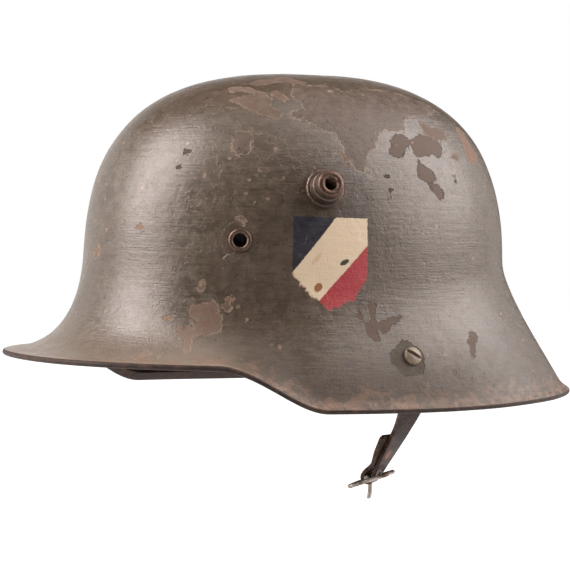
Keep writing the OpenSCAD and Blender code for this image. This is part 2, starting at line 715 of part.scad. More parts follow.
// Buckle: a wire frame with a middle bar in the strap's fold
module buckle_frame() {
    color(raw_steel) translate(buckle_bar) rotate([0, 0, top_turn + strap_twist])
        rotate([90 - buckle_slope, 0, 0]) {
            translate([0, -bar_lift, buckle_length / 2])
                wire_loop(buckle_width, buckle_length, buckle_wire_d);
            translate([-buckle_width / 2 - buckle_wire_d / 2, 0, 0]) rotate([0, 90, 0])
                cylinder(d = buckle_wire_d, h = buckle_width + buckle_wire_d);
        }
}

// Prong that hangs from the buckle's middle bar, with a slightly hooked tip
module buckle_prong() {
    hook_r = 3;
    color(raw_steel) translate(buckle_bar) rotate([0, 0, top_turn + strap_twist])
        difference() {
            union() {
                translate([-prong_eye_width / 2, 0, 0]) rotate([0, 90, 0])
                    cylinder(r = prong_eye_r, h = prong_eye_width);
                translate([0, 0, -prong_length + hook_r * 0.5])
                    cylinder(d = prong_wire_d, h = prong_length - hook_r * 0.5
                        - prong_eye_r + prong_eye_wall / 2);
                translate([0, hook_r, -prong_length + hook_r * 0.5]) rotate([0, 90, 0])
                    rotate([0, 0, -90]) rotate_extrude(angle = 35)
                    translate([hook_r, 0]) circle(d = prong_wire_d);
            }
            translate([-prong_eye_width, 0, 0]) rotate([0, 90, 0])
                cylinder(d = buckle_wire_d + 2 * bore_gap, h = 2 * prong_eye_width);
        }
}

steel_shell();
vent_lug(-1);  // left_vent_lug
vent_lug(1);  // right_vent_lug
vent_lug_washers();
liner_pins();
liner_pin_spacers();
liner_pin_washers();
liner_band();
pad(front_pad_span);  // front_pad
pad(left_pad_span);  // left_pad
pad(right_pad_span);  // right_pad
pad_rivets();
cushion(front_pad_span);  // front_cushion
cushion(left_pad_span);  // left_cushion
cushion(right_pad_span);  // right_cushion
strap_screws();
strap_screw_nuts();
strap_bracket(-1);  // left_strap_bracket
strap_bracket(1);  // right_strap_bracket
strap_ring(-1);  // left_strap_ring
strap_ring(1);  // right_strap_ring
chin_strap();
buckle_frame();
buckle_prong();
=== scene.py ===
import math
import bmesh
import bpy
import numpy as np
from mathutils import Matrix, Quaternion, Vector, kdtree, noise


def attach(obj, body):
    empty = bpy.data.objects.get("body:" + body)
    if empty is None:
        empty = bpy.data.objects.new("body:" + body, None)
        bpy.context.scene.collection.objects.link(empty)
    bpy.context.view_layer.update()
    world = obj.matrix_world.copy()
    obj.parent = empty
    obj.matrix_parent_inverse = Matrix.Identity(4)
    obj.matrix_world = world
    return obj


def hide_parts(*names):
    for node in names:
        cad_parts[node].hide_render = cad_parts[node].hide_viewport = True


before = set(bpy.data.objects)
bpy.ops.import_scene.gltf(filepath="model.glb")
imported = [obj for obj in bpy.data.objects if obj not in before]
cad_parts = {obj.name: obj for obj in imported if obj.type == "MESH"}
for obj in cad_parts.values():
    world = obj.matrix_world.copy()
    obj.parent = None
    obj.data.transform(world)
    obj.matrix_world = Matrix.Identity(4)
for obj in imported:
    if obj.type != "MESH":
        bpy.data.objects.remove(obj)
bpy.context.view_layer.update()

# Camera: it stands 1.4 m from the helmet, towards the front of the wearer's left side and just
# above it, with a long lens and a tilt of one degree.
camera_data = bpy.data.cameras.new("camera")
camera_data.sensor_width = 36
camera_data.lens = 158.22
camera = bpy.data.objects.new("camera", camera_data)
bpy.context.scene.collection.objects.link(camera)
bpy.context.scene.camera = camera
swing, rise, tilt = (math.radians(d) for d in (28.018, 2.039, 1.336))
back = Vector((-math.sin(swing) * math.cos(rise), -math.cos(swing) * math.cos(rise), math.sin(rise)))
camera.location = (-0.64767, -1.20072, 0.10842)
camera.rotation_mode = "QUATERNION"
camera.rotation_quaternion = back.to_track_quat("Z", "Y") @ Quaternion((0, 0, 1), tilt)

# Studio: a pale floor under a white surround, a tall soft box on each side and a soft light
# overhead. Dark cloths hang by the camera and behind the helmet, so the steel that faces them
# stays dark.
bpy.context.scene.view_settings.view_transform = "Standard"


def add_node(kind, values=None, **settings):
    """Adds a node to the tree in hand, sets it up, and links or fills the inputs in values."""
    made = tree.nodes.new(kind)
    for name, value in settings.items():
        setattr(made, name, value)
    for name, value in (values or {}).items():
        if isinstance(value, bpy.types.NodeSocket):
            tree.links.new(value, made.inputs[name])
        else:
            made.inputs[name].default_value = value
    return made


def add_math(kind, a, b=0.0, c=0.0):
    return add_node("ShaderNodeMath", {0: a, 1: b, 2: c}, operation=kind).outputs[0]


def times(a, b):
    return add_math("MULTIPLY", a, b)


def larger(a, b):
    return add_math("MAXIMUM", a, b)


def step(value, low, high, start=0.0, end=1.0):
    """Smooth step of a value between two edges."""
    return add_node("ShaderNodeMapRange", {"Value": value, "From Min": low, "From Max": high,
        "To Min": start, "To Max": end}, interpolation_type="SMOOTHSTEP").outputs[0]


def seen_directly():
    """1 for the rays that see the surround as a background or as a reflection of it."""
    path = add_node("ShaderNodeLightPath")
    shiny = larger(path.outputs["Is Glossy Ray"], path.outputs["Is Transmission Ray"])
    return larger(path.outputs["Is Camera Ray"], shiny)


world = bpy.data.worlds.new("surround")
bpy.context.scene.world = world
world.use_nodes = True
tree = world.node_tree
white = tree.nodes["Background"]
white.inputs["Color"].default_value = (1, 1, 1, 1)
level = add_node("ShaderNodeMapRange", {"Value": seen_directly(), "To Min": 0.20, "To Max": 1.0})
tree.links.new(level.outputs[0], white.inputs["Strength"])


def feed(shader, name, value):
    tree.links.new(value, shader.inputs[name])


def new_material(name, tone, rough, metal=0.0):
    """Material with a shader's fixed values; its patterns are linked over them."""
    made = bpy.data.materials.new(name)
    made.use_nodes = True
    shader = made.node_tree.nodes["Principled BSDF"]
    shader.inputs["Base Color"].default_value = (*tone, 1)
    shader.inputs["Roughness"].default_value = rough
    shader.inputs["Metallic"].default_value = metal
    return made, made.node_tree, shader


bpy.ops.object.select_all(action="DESELECT")
bpy.ops.mesh.primitive_circle_add(vertices=96, radius=9, fill_type="NGON", location=(0, 0, -0.35))
floor = bpy.context.object
floor.name = "floor"
floor_finish, tree, shader = new_material("pale floor", (0.74, 0.74, 0.74), 0.9)
shader.inputs["Specular IOR Level"].default_value = 0.1
shader.inputs["Emission Color"].default_value = (1, 1, 1, 1)
place = add_node("ShaderNodeNewGeometry").outputs["Position"]
away = add_node("ShaderNodeVectorMath", {0: place}, operation="LENGTH").outputs["Value"]
glow = times(step(away, 0.6, 1.5, 0.35, 1.0), seen_directly())
feed(shader, "Emission Strength", glow)
floor.data.materials.append(floor_finish)

middle = Vector((0, 0, 0.09))


def round_about(turn, distance, height):
    """Place at a turn round the helmet: 0 is straight beside it, 90 behind it."""
    angle = math.radians(turn)
    return Vector((math.sin(angle) * distance, -math.cos(angle) * distance, height))


for name, turn, distance, height, wide, tall, power in (
        ("left soft box", -103, 1.25, 0.80, 1.05, 1.5, 54),
        ("right soft box", 59, 1.45, 0.98, 1.60, 1.65, 56),
        ("overhead soft box", 75, 0.45, 1.40, 0.9, 0.9, 4.2)):
    lamp = bpy.data.lights.new(name, "AREA")
    lamp.shape = "RECTANGLE"
    lamp.size = wide
    lamp.size_y = tall
    lamp.energy = power
    box = bpy.data.objects.new(name, lamp)
    bpy.context.scene.collection.objects.link(box)
    box.location = round_about(turn, distance, height)
    box.rotation_mode = "QUATERNION"
    box.rotation_quaternion = (box.location - middle).to_track_quat("Z", "Y")
    box.visible_camera = False

cloth_finish, tree, shader = new_material("dark cloth", (0.02, 0.02, 0.02), 1.0)
shader.inputs["Specular IOR Level"].default_value = 0.0
for turn, distance, height, lean, wide, tall in ((-54, 1.6, 0.45, 0.36, 1.65, 2.1),
        (-2, 1.6, 0.45, 0.36, 1.5, 2.1), (164, 1.0, 1.3, 0.0, 2.4, 1.6), (131, 1.6, 0.35, 0.0, 0.55, 1.1)):
    bpy.ops.object.select_all(action="DESELECT")
    bpy.ops.mesh.primitive_plane_add(size=1, location=(0, 0, 0))
    cloth = bpy.context.object
    cloth.name = "dark cloth"
    cloth.scale = (wide, tall, 1)
    cloth.location = round_about(turn, distance, height)
    cloth.rotation_mode = "QUATERNION"
    facing_it = middle + Vector((0, 0, lean)) - cloth.location
    cloth.rotation_quaternion = facing_it.to_track_quat("Z", "Y")
    cloth.visible_camera = False
    cloth.data.materials.append(cloth_finish)

# Steel shell: one sheet of steel 1.1 mm thick, pressed into dome, visor, skirts and neck guard.
# Its lip turns out along the rim and is folded under into a hem. Lengths are in millimetres, and
# a turn is an angle round the crown that starts at the middle of the back.
SHELL_HEIGHT = 174.0
STEEL = 1.1
HEM_THICK = 3.0
HEM_WIDTH = 4.5
LIP_WIDTH = 8.0
DOME_TAPER = 0.046
PROFILE_POWER = 2.72


def smooth(x):
    t = np.clip(x, 0, 1)
    return t * t * (3 - 2 * t)


def oval(turn, front, rear, side, power):
    c, s = np.cos(np.radians(turn)), np.abs(np.sin(np.radians(turn)))
    reach = np.where(c > 0, rear, front)
    return ((np.abs(c) / reach) ** power + (s / side) ** power) ** (-1 / power)


def around(turn, front, side, rear):
    c = np.cos(np.radians(turn))
    return side + (np.where(c < 0, front, rear) - side) * c * c


def with_visor(turn, visor, side, rear):
    t = np.degrees(np.arccos(np.cos(np.radians(turn))))
    share = smooth((t - 110.5) / (135 - 110.5))
    return share * visor + (1 - share) * around(turn, side, side, rear)


def wall_radius(turn):
    return oval(turn, 120, 113.8, 94, 2.12)


def wall_height(turn):
    return around(turn, 77.7, 67, 77.3)


def slopes(turn):
    """Slopes of the flare and of the lip's edge, in degrees below level."""
    return with_visor(turn, 12.5, 69.4, 56.8), with_visor(turn, 1.5, 44, 25)


def down(angle):
    return np.stack([np.cos(np.radians(angle)), -np.sin(np.radians(angle))], -1)


def under(angle):
    return np.stack([-np.sin(np.radians(angle)), -np.cos(np.radians(angle))], -1)


def dome_point(turn, fall):
    """[radius, height] on the dome, from 0 on the crown to 90 at the wall."""
    level = np.cos(np.radians(fall)) ** (2 / PROFILE_POWER)
    wall = wall_height(turn)
    radius = wall_radius(turn) * np.sin(np.radians(fall)) ** (2 / PROFILE_POWER)
    return np.stack([radius * (1 - DOME_TAPER * level), wall + (SHELL_HEIGHT - wall) * level], -1)


def lip_start(turn):
    slope, end = slopes(turn)
    mean, bead = np.radians((slope + end) / 2), HEM_THICK / 2
    reach = oval(turn, 162.8, 154.3, 117.7, 2.25) - bead * (1 - np.sin(np.radians(end)))
    low = with_visor(turn, 21, 0, 4.5) + bead * (1 + np.cos(np.radians(end)))
    return np.stack([reach - LIP_WIDTH * np.cos(mean), low + LIP_WIDTH * np.sin(mean)], -1)


def lip_point(turn, t):
    slope, end = slopes(turn)
    return lip_start(turn) + LIP_WIDTH * t * down(slope * (1 - t / 2) + end * t / 2)


def lip_under(turn, t):
    slope, end = slopes(turn)
    return under(slope * (1 - t) + end * t)


def flare_point(turn, t):
    """[radius, height] on visor, skirt or neck guard, from 0 at the wall to 1 at the lip."""
    r0, z0, slope, p3 = wall_radius(turn), wall_height(turn), slopes(turn)[0], lip_start(turn)
    height = z0 - p3[..., 1]
    length = np.hypot(height, p3[..., 0] - r0)
    k0 = with_visor(turn, 0.45, 0.40, 0.22) * height
    k1 = with_visor(turn, 0.42, 0.30, 0.36) * length
    p0 = np.stack([r0, z0], -1)
    p1 = np.stack([r0 + k0 * DOME_TAPER * r0 / (SHELL_HEIGHT - z0), z0 - k0], -1)
    p2 = p3 - k1[..., None] * down(slope)
    u = 1 - t
    return u ** 3 * p0 + 3 * u * u * t * p1 + 3 * u * t * t * p2 + t ** 3 * p3


def skin(turn, z):
    """Point on the outside of the shell at a turn and a height."""
    t = np.array([float(turn)])
    w = float(wall_height(t)[0])
    if z > w:
        level = (z - w) / (SHELL_HEIGHT - w)
        radius = float(wall_radius(t)[0]) * (1 - level ** PROFILE_POWER) ** (1 / PROFILE_POWER)
        radius *= 1 - DOME_TAPER * level
    else:
        line = np.array([flare_point(t, s)[0] for s in np.linspace(0, 1, 200)])
        radius = float(np.interp(-z, -line[:, 1], line[:, 0]))
    return Vector((radius * math.cos(math.radians(turn)), radius * math.sin(math.radians(turn)), z))


def skin_normal(turn, z):
    across = skin(turn + 1, z) - skin(turn - 1, z)
    return across.cross(skin(turn, z + 1) - skin(turn, z - 1)).normalized()


def on_skin(turn, z):
    """Seats a piece, in metres, on the skin: its Z points out and its X down the shell."""
    n = skin_normal(turn, z)
    return Matrix.Translation(skin(turn, z) / 1000) @ Matrix.Rotation(math.atan2(n.y, n.x), 4, "Z") \
        @ Matrix.Rotation(math.acos(n.z), 4, "Y")


MERIDIANS = 288
DOME_ROWS, FLARE_ROWS, LIP_ROWS = 44, 30, 6
HEM_ROW = DOME_ROWS + FLARE_ROWS + LIP_ROWS


def shell_rows(turn):
    """Profile of the sheet: down the outside, round the hem, up its fold and the inside."""
    outside = [dome_point(turn, 90 * i / DOME_ROWS) for i in range(1, DOME_ROWS + 1)]
    outside += [flare_point(turn, i / FLARE_ROWS) for i in range(1, FLARE_ROWS + 1)]
    edge, bead = lip_under(turn, 1), HEM_THICK / 2
    along = np.stack([-edge[..., 1], edge[..., 0]], -1)
    core = lip_point(turn, 1) + edge * bead
    found = outside + [lip_point(turn, i / LIP_ROWS) for i in range(1, LIP_ROWS + 1)]
    for a in range(20, 181, 20):
        found.append(core + bead * (along * math.sin(math.radians(a)) - edge * math.cos(math.radians(a))))
    fold = 1 - HEM_WIDTH / LIP_WIDTH
    found.append(lip_point(turn, fold) + lip_under(turn, fold) * HEM_THICK)
    inner = fold - STEEL / LIP_WIDTH
    found.append(lip_point(turn, inner) + lip_under(turn, inner) * STEEL)
    found.append(lip_point(turn, 0) + lip_under(turn, 0) * STEEL)
    crown = np.stack([0 * turn, SHELL_HEIGHT + 0 * turn], -1)
    for i in range(len(outside) - 2, -1, -1):
        d = outside[i + 1] - (outside[i - 1] if i else crown)
        d = d / np.linalg.norm(d, axis=-1, keepdims=True)
        found.append(outside[i] + STEEL * np.stack([d[..., 1], -d[..., 0]], -1))
    return found


def vertex_places(piece):
    places = np.zeros(len(piece.data.vertices) * 3)
    piece.data.vertices.foreach_get("co", places)
    return places.reshape(-1, 3)


def set_places(piece, places):
    piece.data.vertices.foreach_set("co", places.ravel())
    piece.data.update()


turns = np.arange(MERIDIANS) * 360 / MERIDIANS
rows = np.array(shell_rows(turns))
bpy.ops.object.select_all(action="DESELECT")
bpy.ops.mesh.primitive_uv_sphere_add(segments=MERIDIANS, ring_count=len(rows) + 1, radius=1)
shell = bpy.context.object
shell.name = "pressed_shell"
ball = vertex_places(shell)
ring = np.rint(np.degrees(np.arccos(np.clip(ball[:, 2], -1, 1))) / 180 * (len(rows) + 1)).astype(int)
column = np.rint(np.degrees(np.arctan2(ball[:, 1], ball[:, 0])) / 360 * MERIDIANS).astype(int) % MERIDIANS
between = (ring > 0) & (ring <= len(rows))
rz = rows[ring[between] - 1, column[between]]
angle = np.radians(turns[column[between]])
pressed = np.zeros_like(ball)
pressed[between] = np.stack([rz[:, 0] * np.cos(angle), rz[:, 0] * np.sin(angle), rz[:, 1]], -1)
pressed[ring == 0] = (0, 0, SHELL_HEIGHT)
pressed[ring == len(rows) + 1] = (0, 0, SHELL_HEIGHT - STEEL)
dents = np.array([noise.noise(Vector(p) / 34) * 0.30 + noise.noise(Vector(p) / 13) * 0.09 for p in pressed])
DENT_CENTRE = np.array([0, 0, 40.0])
outward = pressed - DENT_CENTRE
outward /= np.linalg.norm(outward, axis=1, keepdims=True)
pressed += outward * dents[:, None]
set_places(shell, pressed / 1000)
bpy.context.view_layer.update()

# Outlines of what shows on the paint. Each corner was picked one by one and is a pixel of the photograph. A
# flake starts with its tone, from 0 grey to 1 rust, and a worn patch with how many millimetres its edge is
# drawn in.
PHOTO_SIZE = 570
FLAKES = (
    (0.35, ((249, 84), (258, 80), (276, 79), (283, 77), (290, 78), (297, 81), (305, 82), (305, 84),
        (294, 84), (282, 82), (270, 84), (256, 86))),
    (0.35, ((228, 88), (236, 87), (250, 88), (256, 91), (267, 94), (268, 97), (257, 97), (253, 93),
        (240, 91), (230, 93))),
    (0.3, ((226, 99), (238, 98), (243, 96), (256, 96), (268, 96), (272, 100), (270, 105), (277, 110),
        (282, 114), (281, 118), (272, 118), (262, 115), (250, 111), (240, 105), (232, 102))),
    (0.45, ((271, 92), (277, 91), (283, 94), (287, 98), (290, 101), (285, 103), (279, 99), (273, 97))),
    (0.2, ((391, 138), (397, 134), (404, 135), (408, 138), (411, 141), (409, 144), (405, 150), (403, 157),
        (395, 157), (388, 155), (389, 150), (392, 146), (389, 142))),
    (0.25, ((412, 139), (420, 134), (424, 136), (432, 138), (436, 140), (440, 144), (442, 150),
        (442, 156), (438, 158), (435, 154), (431, 154), (428, 156), (418, 157), (414, 155), (412, 148))),
    (0.45, ((422, 122), (430, 128), (436, 127), (444, 131), (446, 139), (440, 142), (434, 137),
        (426, 135), (423, 130), (418, 124))),
    (0.15, ((420, 160), (424, 166), (430, 170), (435, 174), (435, 182), (428, 182), (421, 180),
        (417, 174), (418, 166))),
    (0.1, ((431, 184), (436, 183), (440, 186), (443, 190), (443, 200), (438, 200), (436, 194),
        (431, 189))),
    (0.3, ((452, 153), (457, 153), (459, 158), (456, 161), (451, 158))),
    (0.8, ((455, 126), (463, 132), (468, 142), (474, 152), (477, 158), (476, 164), (471, 164), (468, 160),
        (466, 155), (464, 145), (460, 137))),
    (0, ((383, 176), (388, 172), (390, 173), (387, 179), (384, 180))),
    (0, ((388, 188), (394, 187), (395, 190), (389, 191))),
    (0, ((386, 199), (390, 196), (391, 201), (388, 203))),
    (0.1, ((453, 174), (455, 175), (456, 182), (458, 186), (455, 186))),
    (0.55, ((188, 317), (189, 309), (192, 304), (200, 303), (209, 302), (212, 299), (216, 303),
        (219, 311), (222, 317), (222, 323), (219, 333), (208, 335), (197, 335), (193, 328), (192, 324),
        (197, 320), (193, 319), (190, 321))),
    (0.65, ((176, 326), (180, 327), (190, 326), (193, 330), (197, 334), (192, 338), (191, 352),
        (183, 352), (184, 340), (180, 336), (176, 334))),
    (0.35, ((223, 304), (230, 301), (232, 307), (229, 312), (224, 310))),
    (0.9, ((224, 300), (229, 295), (234, 296), (233, 301), (228, 303))),
    (0.9, ((163, 316), (170, 315), (172, 320), (165, 321))),
    (0.5, ((141, 351), (150, 350), (152, 353), (144, 356))),
    (0.5, ((161, 352), (165, 352), (167, 356), (162, 356))),
    (0.45, ((195, 287), (202, 285), (205, 290), (198, 292))),
    (0.26, ((369, 305), (372, 302), (376, 303), (375, 312), (375, 320), (379, 323), (387, 320),
        (393, 316), (402, 315), (402, 318), (397, 321), (391, 325), (389, 331), (384, 334), (380, 330),
        (376, 330), (380, 336), (380, 340), (374, 339), (369, 337), (365, 331), (366, 325), (371, 321),
        (370, 313))),
    (0.26, ((356, 314), (360, 311), (363, 316), (364, 320), (356, 320))),
    (0.27, ((470, 331), (475, 332), (477, 336), (477, 342), (475, 346), (474, 352), (476, 356),
        (475, 359), (471, 356), (471, 349), (468, 344), (466, 339), (469, 337))),
    (0.3, ((451, 370), (456, 370), (458, 376), (453, 375))),
    (0, ((183, 149), (190, 148), (191, 154), (185, 156))),
    (0, ((176, 164), (181, 164), (182, 169), (178, 170))),
    (0.8, ((136, 223), (145, 222), (144, 228), (137, 230))),
    (0.45, ((94, 251), (102, 240), (106, 243), (100, 254), (93, 259))),
    (0.35, ((231, 222), (237, 216), (245, 216), (248, 222), (246, 227), (238, 224))),
    (0.45, ((199, 279), (205, 280), (205, 286), (199, 285))),
    (0, ((225, 259), (231, 256), (238, 257), (234, 262), (227, 262))),
    (0.7, ((342, 152), (348, 158), (350, 168), (344, 164))),
)
WORN = (
    (0, ((294, 85), (318, 86), (330, 87), (345, 93), (366, 89), (385, 91), (405, 96), (425, 104),
        (438, 112), (425, 115), (410, 117), (403, 119), (405, 123), (406, 129), (401, 132), (381, 131),
        (378, 137), (374, 148), (368, 152), (365, 165), (362, 173), (354, 168), (347, 158), (343, 145),
        (338, 135), (320, 128), (306, 120), (292, 117), (292, 111), (307, 110), (303, 106), (301, 100),
        (296, 100), (292, 97))),
    (2, ((228, 131), (240, 129), (254, 128), (256, 140), (255, 157), (240, 159), (230, 155))),
)
SCRAPED = (
    ((390, 353), (396, 348), (402, 339), (408, 342), (416, 346), (421, 350), (423, 357), (424, 368),
        (423, 374), (410, 376), (400, 374), (396, 366), (391, 362)),
)
HEART = np.array([0, 0, 60.0])
sight = pressed - HEART
sight /= np.linalg.norm(sight, axis=1, keepdims=True)
outer = np.nonzero(ring <= HEM_ROW)[0]


def seen_from_heart(corners):
    """Turns and rises, in degrees round the helmet's heart, of the pixels of an outline."""
    found = []
    for x, y in corners:
        sight_line = Vector((x - PHOTO_SIZE / 2, PHOTO_SIZE / 2 - y,
            -PHOTO_SIZE * camera_data.lens / camera_data.sensor_width))
        sight_line.rotate(camera.rotation_quaternion)
        seen = shell.ray_cast(camera.location, sight_line.normalized())[1]
        place = seen * 1000 - Vector(HEART)
        found.append((math.degrees(math.atan2(place.y, place.x)),
            math.degrees(math.asin(place.z / place.length))))
    return found


def place_outline(corners, shift=0.0, flip=1):
    """Corners of an outline, as turns and rises, as points on the outside of the shell."""
    found = []
    for turn, rise in corners:
        t, r = math.radians(flip * turn + shift), math.radians(rise)
        ray = np.array([math.cos(r) * math.cos(t), math.cos(r) * math.sin(t), math.sin(r)])
        nearest = outer[np.argmax(sight[outer] @ ray)]
        found.append(HEART + ray * np.linalg.norm(pressed[nearest] - HEART))
    return np.array(found)


def depth_in(outline, reach=9.0):
    """For the points near a flat outline: how many millimetres each lies inside its edge."""
    centre = outline.mean(axis=0)
    normal = np.linalg.svd(outline - centre)[2][2]
    flat = np.cross([0.3, 0.2, 1.0], normal)
    flat /= np.linalg.norm(flat)
    axes = np.stack([flat, np.cross(normal, flat)], 1)
    span = np.linalg.norm(outline - centre, axis=1).max() + reach
    near = outer[np.linalg.norm(pressed[outer] - centre, axis=1) < span]
    p, q = (pressed[near] - centre) @ axes, (outline - centre) @ axes
    least, inside = np.full(len(near), 1e9), np.zeros(len(near), bool)
    for a, b in zip(q, np.roll(q, -1, axis=0)):
        along = np.clip((p - a) @ (b - a) / max(1e-9, (b - a) @ (b - a)), 0, 1)
        least = np.minimum(least, np.linalg.norm(p - a - along[:, None] * (b - a), axis=1))
        crosses = (a[1] > p[:, 1]) != (b[1] > p[:, 1])
        side = a[0] + (p[:, 1] - a[1]) * (b[0] - a[0]) / (b[1] - a[1] if b[1] != a[1] else 1e-9)
        inside ^= crosses & (p[:, 0] < side)
    return near, np.where(inside, least, -least)


marks = {name: np.full(len(pressed), -9.0) for name in ("flaked", "worn", "scraped")}
marks["flake_tone"] = np.zeros(len(pressed))
flakes = [(tone, seen_from_heart(corners)) for tone, corners in FLAKES]
worn_patches = [(loss, seen_from_heart(corners)) for loss, corners in WORN]
scrapes = [seen_from_heart(corners) for corners in SCRAPED]
# What is picked lies in the photograph's view; other sides get flipped and shifted copies.
for flip, shift in ((1, 0), (-1, -16), (1, 128)):
    for tone, corners in flakes:
        turn = (flip * corners[0][0] + shift + 180) % 360 - 180
        if shift and -168 < turn < -35:
            continue
        near, depth = depth_in(place_outline(corners, shift, flip))
        closer = depth > marks["flaked"][near]
        marks["flake_tone"][near[closer]] = tone
        marks["flaked"][near] = np.maximum(marks["flaked"][near], depth)
for flip, shift in ((1, 0), (-1, 24)):
    for loss, corners in worn_patches:
        near, depth = depth_in(place_outline(corners, shift, flip), 14)
        marks["worn"][near] = np.maximum(marks["worn"][near], depth - loss)
for flip in (1, -1):
    for corners in scrapes:
        near, depth = depth_in(place_outline(corners, 0, flip))
        marks["scraped"][near] = np.maximum(marks["scraped"][near], depth)
lengths = np.linalg.norm(np.diff(rows, axis=0, prepend=rows[:1] * [0, 1]), axis=2)
run = np.concatenate([np.zeros((1, MERIDIANS)), np.cumsum(lengths, axis=0), np.zeros((1, MERIDIANS))])
marks["level"] = (wall_height(turns) + run[DOME_ROWS] - run)[ring, column]
marks["hem"] = run[ring, column] - run[HEM_ROW, column]

LUG_TURN, LUG_HEIGHT, LUG_BORE = 111, 112.4, 5.6
SCREW_TURN, SCREW_HEIGHT, SCREW_BORE = 84.6, 28, 2.6
PIN_HEIGHT, PIN_BORE = 85.5, 4.3
PINS = ((-135, PIN_HEIGHT), (135, PIN_HEIGHT), (0, PIN_HEIGHT))
SIDES = (-1, 1)


def hold(*pieces):
    """Selects these pieces only, and makes the first one active."""
    bpy.ops.object.select_all(action="DESELECT")
    for piece in pieces:
        piece.select_set(True)
    bpy.context.view_layer.objects.active = pieces[0]


def join(pieces, name):
    hold(*pieces)
    bpy.ops.object.join()
    pieces[0].name = name
    return pieces[0]


def apply_modifier(piece, name, kind, **settings):
    hold(piece)
    made = piece.modifiers.new(name, kind)
    for label, value in settings.items():
        setattr(made, label, value)
    bpy.ops.object.modifier_apply(modifier=made.name)


def store(piece, name, values):
    """Stores one number for each point of a piece."""
    numbers = np.array(values, np.float32)
    piece.data.attributes.new(name, "FLOAT", "POINT").data.foreach_set("value", numbers)


bores = [(side * LUG_TURN, LUG_HEIGHT, LUG_BORE) for side in SIDES]
bores += [(side * SCREW_TURN, SCREW_HEIGHT, SCREW_BORE) for side in SIDES]
bores += [(turn, z, PIN_BORE) for turn, z in PINS]
cutters = []
for turn, z, radius in bores:
    bpy.ops.object.select_all(action="DESELECT")
    bpy.ops.mesh.primitive_cylinder_add(vertices=40, radius=radius / 1000, depth=0.02)
    bpy.context.object.matrix_world = on_skin(turn, z)
    cutters.append(bpy.context.object)
punch = join(cutters, "punch")
apply_modifier(shell, "punched holes", "BOOLEAN", object=punch, solver="EXACT")
bpy.data.objects.remove(punch)
bpy.ops.object.shade_smooth_by_angle(angle=math.radians(50))

lookup = kdtree.KDTree(len(pressed))
for i, p in enumerate(pressed):
    lookup.insert(p / 1000, i)
lookup.balance()
source = np.array([lookup.find(v.co)[1] for v in shell.data.vertices])
for name, values in marks.items():
    store(shell, name, values[source])


def plus(a, b):
    return add_math("ADD", a, b)


def minus(a, b):
    return add_math("SUBTRACT", a, b)


def times_plus(a, b, c):
    return add_math("MULTIPLY_ADD", a, b, c)


def smaller(a, b):
    return add_math("MINIMUM", a, b)


def absolute(a):
    return add_math("ABSOLUTE", a)


def is_above(a, b):
    return add_math("GREATER_THAN", a, b)


def mix(share, a, b):
    """Mixes two colours."""
    node = add_node("ShaderNodeMix", {0: share}, data_type="RGBA")
    for socket, value in ((node.inputs[6], a), (node.inputs[7], b)):
        if isinstance(value, bpy.types.NodeSocket):
            tree.links.new(value, socket)
        else:
            socket.default_value = (*value, 1)
    return node.outputs[2]


def stretch(at, by):
    return add_node("ShaderNodeVectorMath", {0: at, 1: by}, operation="MULTIPLY").outputs[0]


def grain(at, scale, detail=2.0, rough=0.5, kind="Fac"):
    """Cloudy noise, in patches per millimetre."""
    return add_node("ShaderNodeTexNoise", {"Vector": at, "Scale": scale, "Detail": detail,
        "Roughness": rough}).outputs[kind]


def nudge(at, scale, amount):
    """Moves coordinates about, so that what is drawn on them gets a ragged edge."""
    cloud = grain(at, scale, 2, kind="Color")
    centred = add_node("ShaderNodeVectorMath", {0: cloud, 1: (0.5, 0.5, 0.5)}, operation="SUBTRACT")
    moved = add_node("ShaderNodeVectorMath", {0: centred.outputs[0], "Scale": amount}, operation="SCALE")
    return add_node("ShaderNodeVectorMath", {0: at, 1: moved.outputs[0]}, operation="ADD").outputs[0]


def millimetres():
    """Object coordinates in millimetres."""
    place = add_node("ShaderNodeTexCoord").outputs["Object"]
    return add_node("ShaderNodeVectorMath", {0: place, "Scale": 1000}, operation="SCALE").outputs[0]


def stored(name):
    return add_node("ShaderNodeAttribute", attribute_name=name).outputs["Fac"]


def set_relief(shader, height, strength=1.0):
    """Bump from a height in millimetres."""
    relief = add_node("ShaderNodeBump", {"Height": height, "Distance": 0.001, "Strength": strength})
    feed(shader, "Normal", relief.outputs[0])


def new_group(name, inputs, outputs):
    """Starts a node group, from inputs with their usual values (None for a place) and outputs."""
    group = bpy.data.node_groups.new(name, "ShaderNodeTree")
    for label, value in inputs.items():
        kind = "NodeSocketVector" if value is None else "NodeSocketFloat"
        socket = group.interface.new_socket(label, in_out="INPUT", socket_type=kind)
        if value is not None:
            socket.default_value = value
    for label in outputs:
        group.interface.new_socket(label, in_out="OUTPUT", socket_type="NodeSocketFloat")
    return group, group.nodes.new("NodeGroupInput").outputs, group.nodes.new("NodeGroupOutput").inputs


def use_group(group, **values):
    return add_node("ShaderNodeGroup", values, node_tree=group).outputs


# Strokes of a coarse brush: long ridges along the brush and a faint mesh across them.
tree, given, put = new_group("brush strokes", {"Place": None, "Wave": 2.0}, ("Ridges", "Height"))
at = nudge(given["Place"], 0.03, given["Wave"])
fine = grain(stretch(at, (0.10, 0.10, 1.25)), 1.0, 3, 0.6)
broad = grain(stretch(at, (0.03, 0.03, 0.45)), 1.0, 2, 0.5)
cross = grain(stretch(at, (1.1, 1.1, 0.14)), 1.0, 2, 0.5)
tree.links.new(fine, put["Ridges"])
high = times_plus(fine, 0.12, times(broad, 0.13))
tree.links.new(times_plus(cross, 0.03, high), put["Height"])
brush = tree

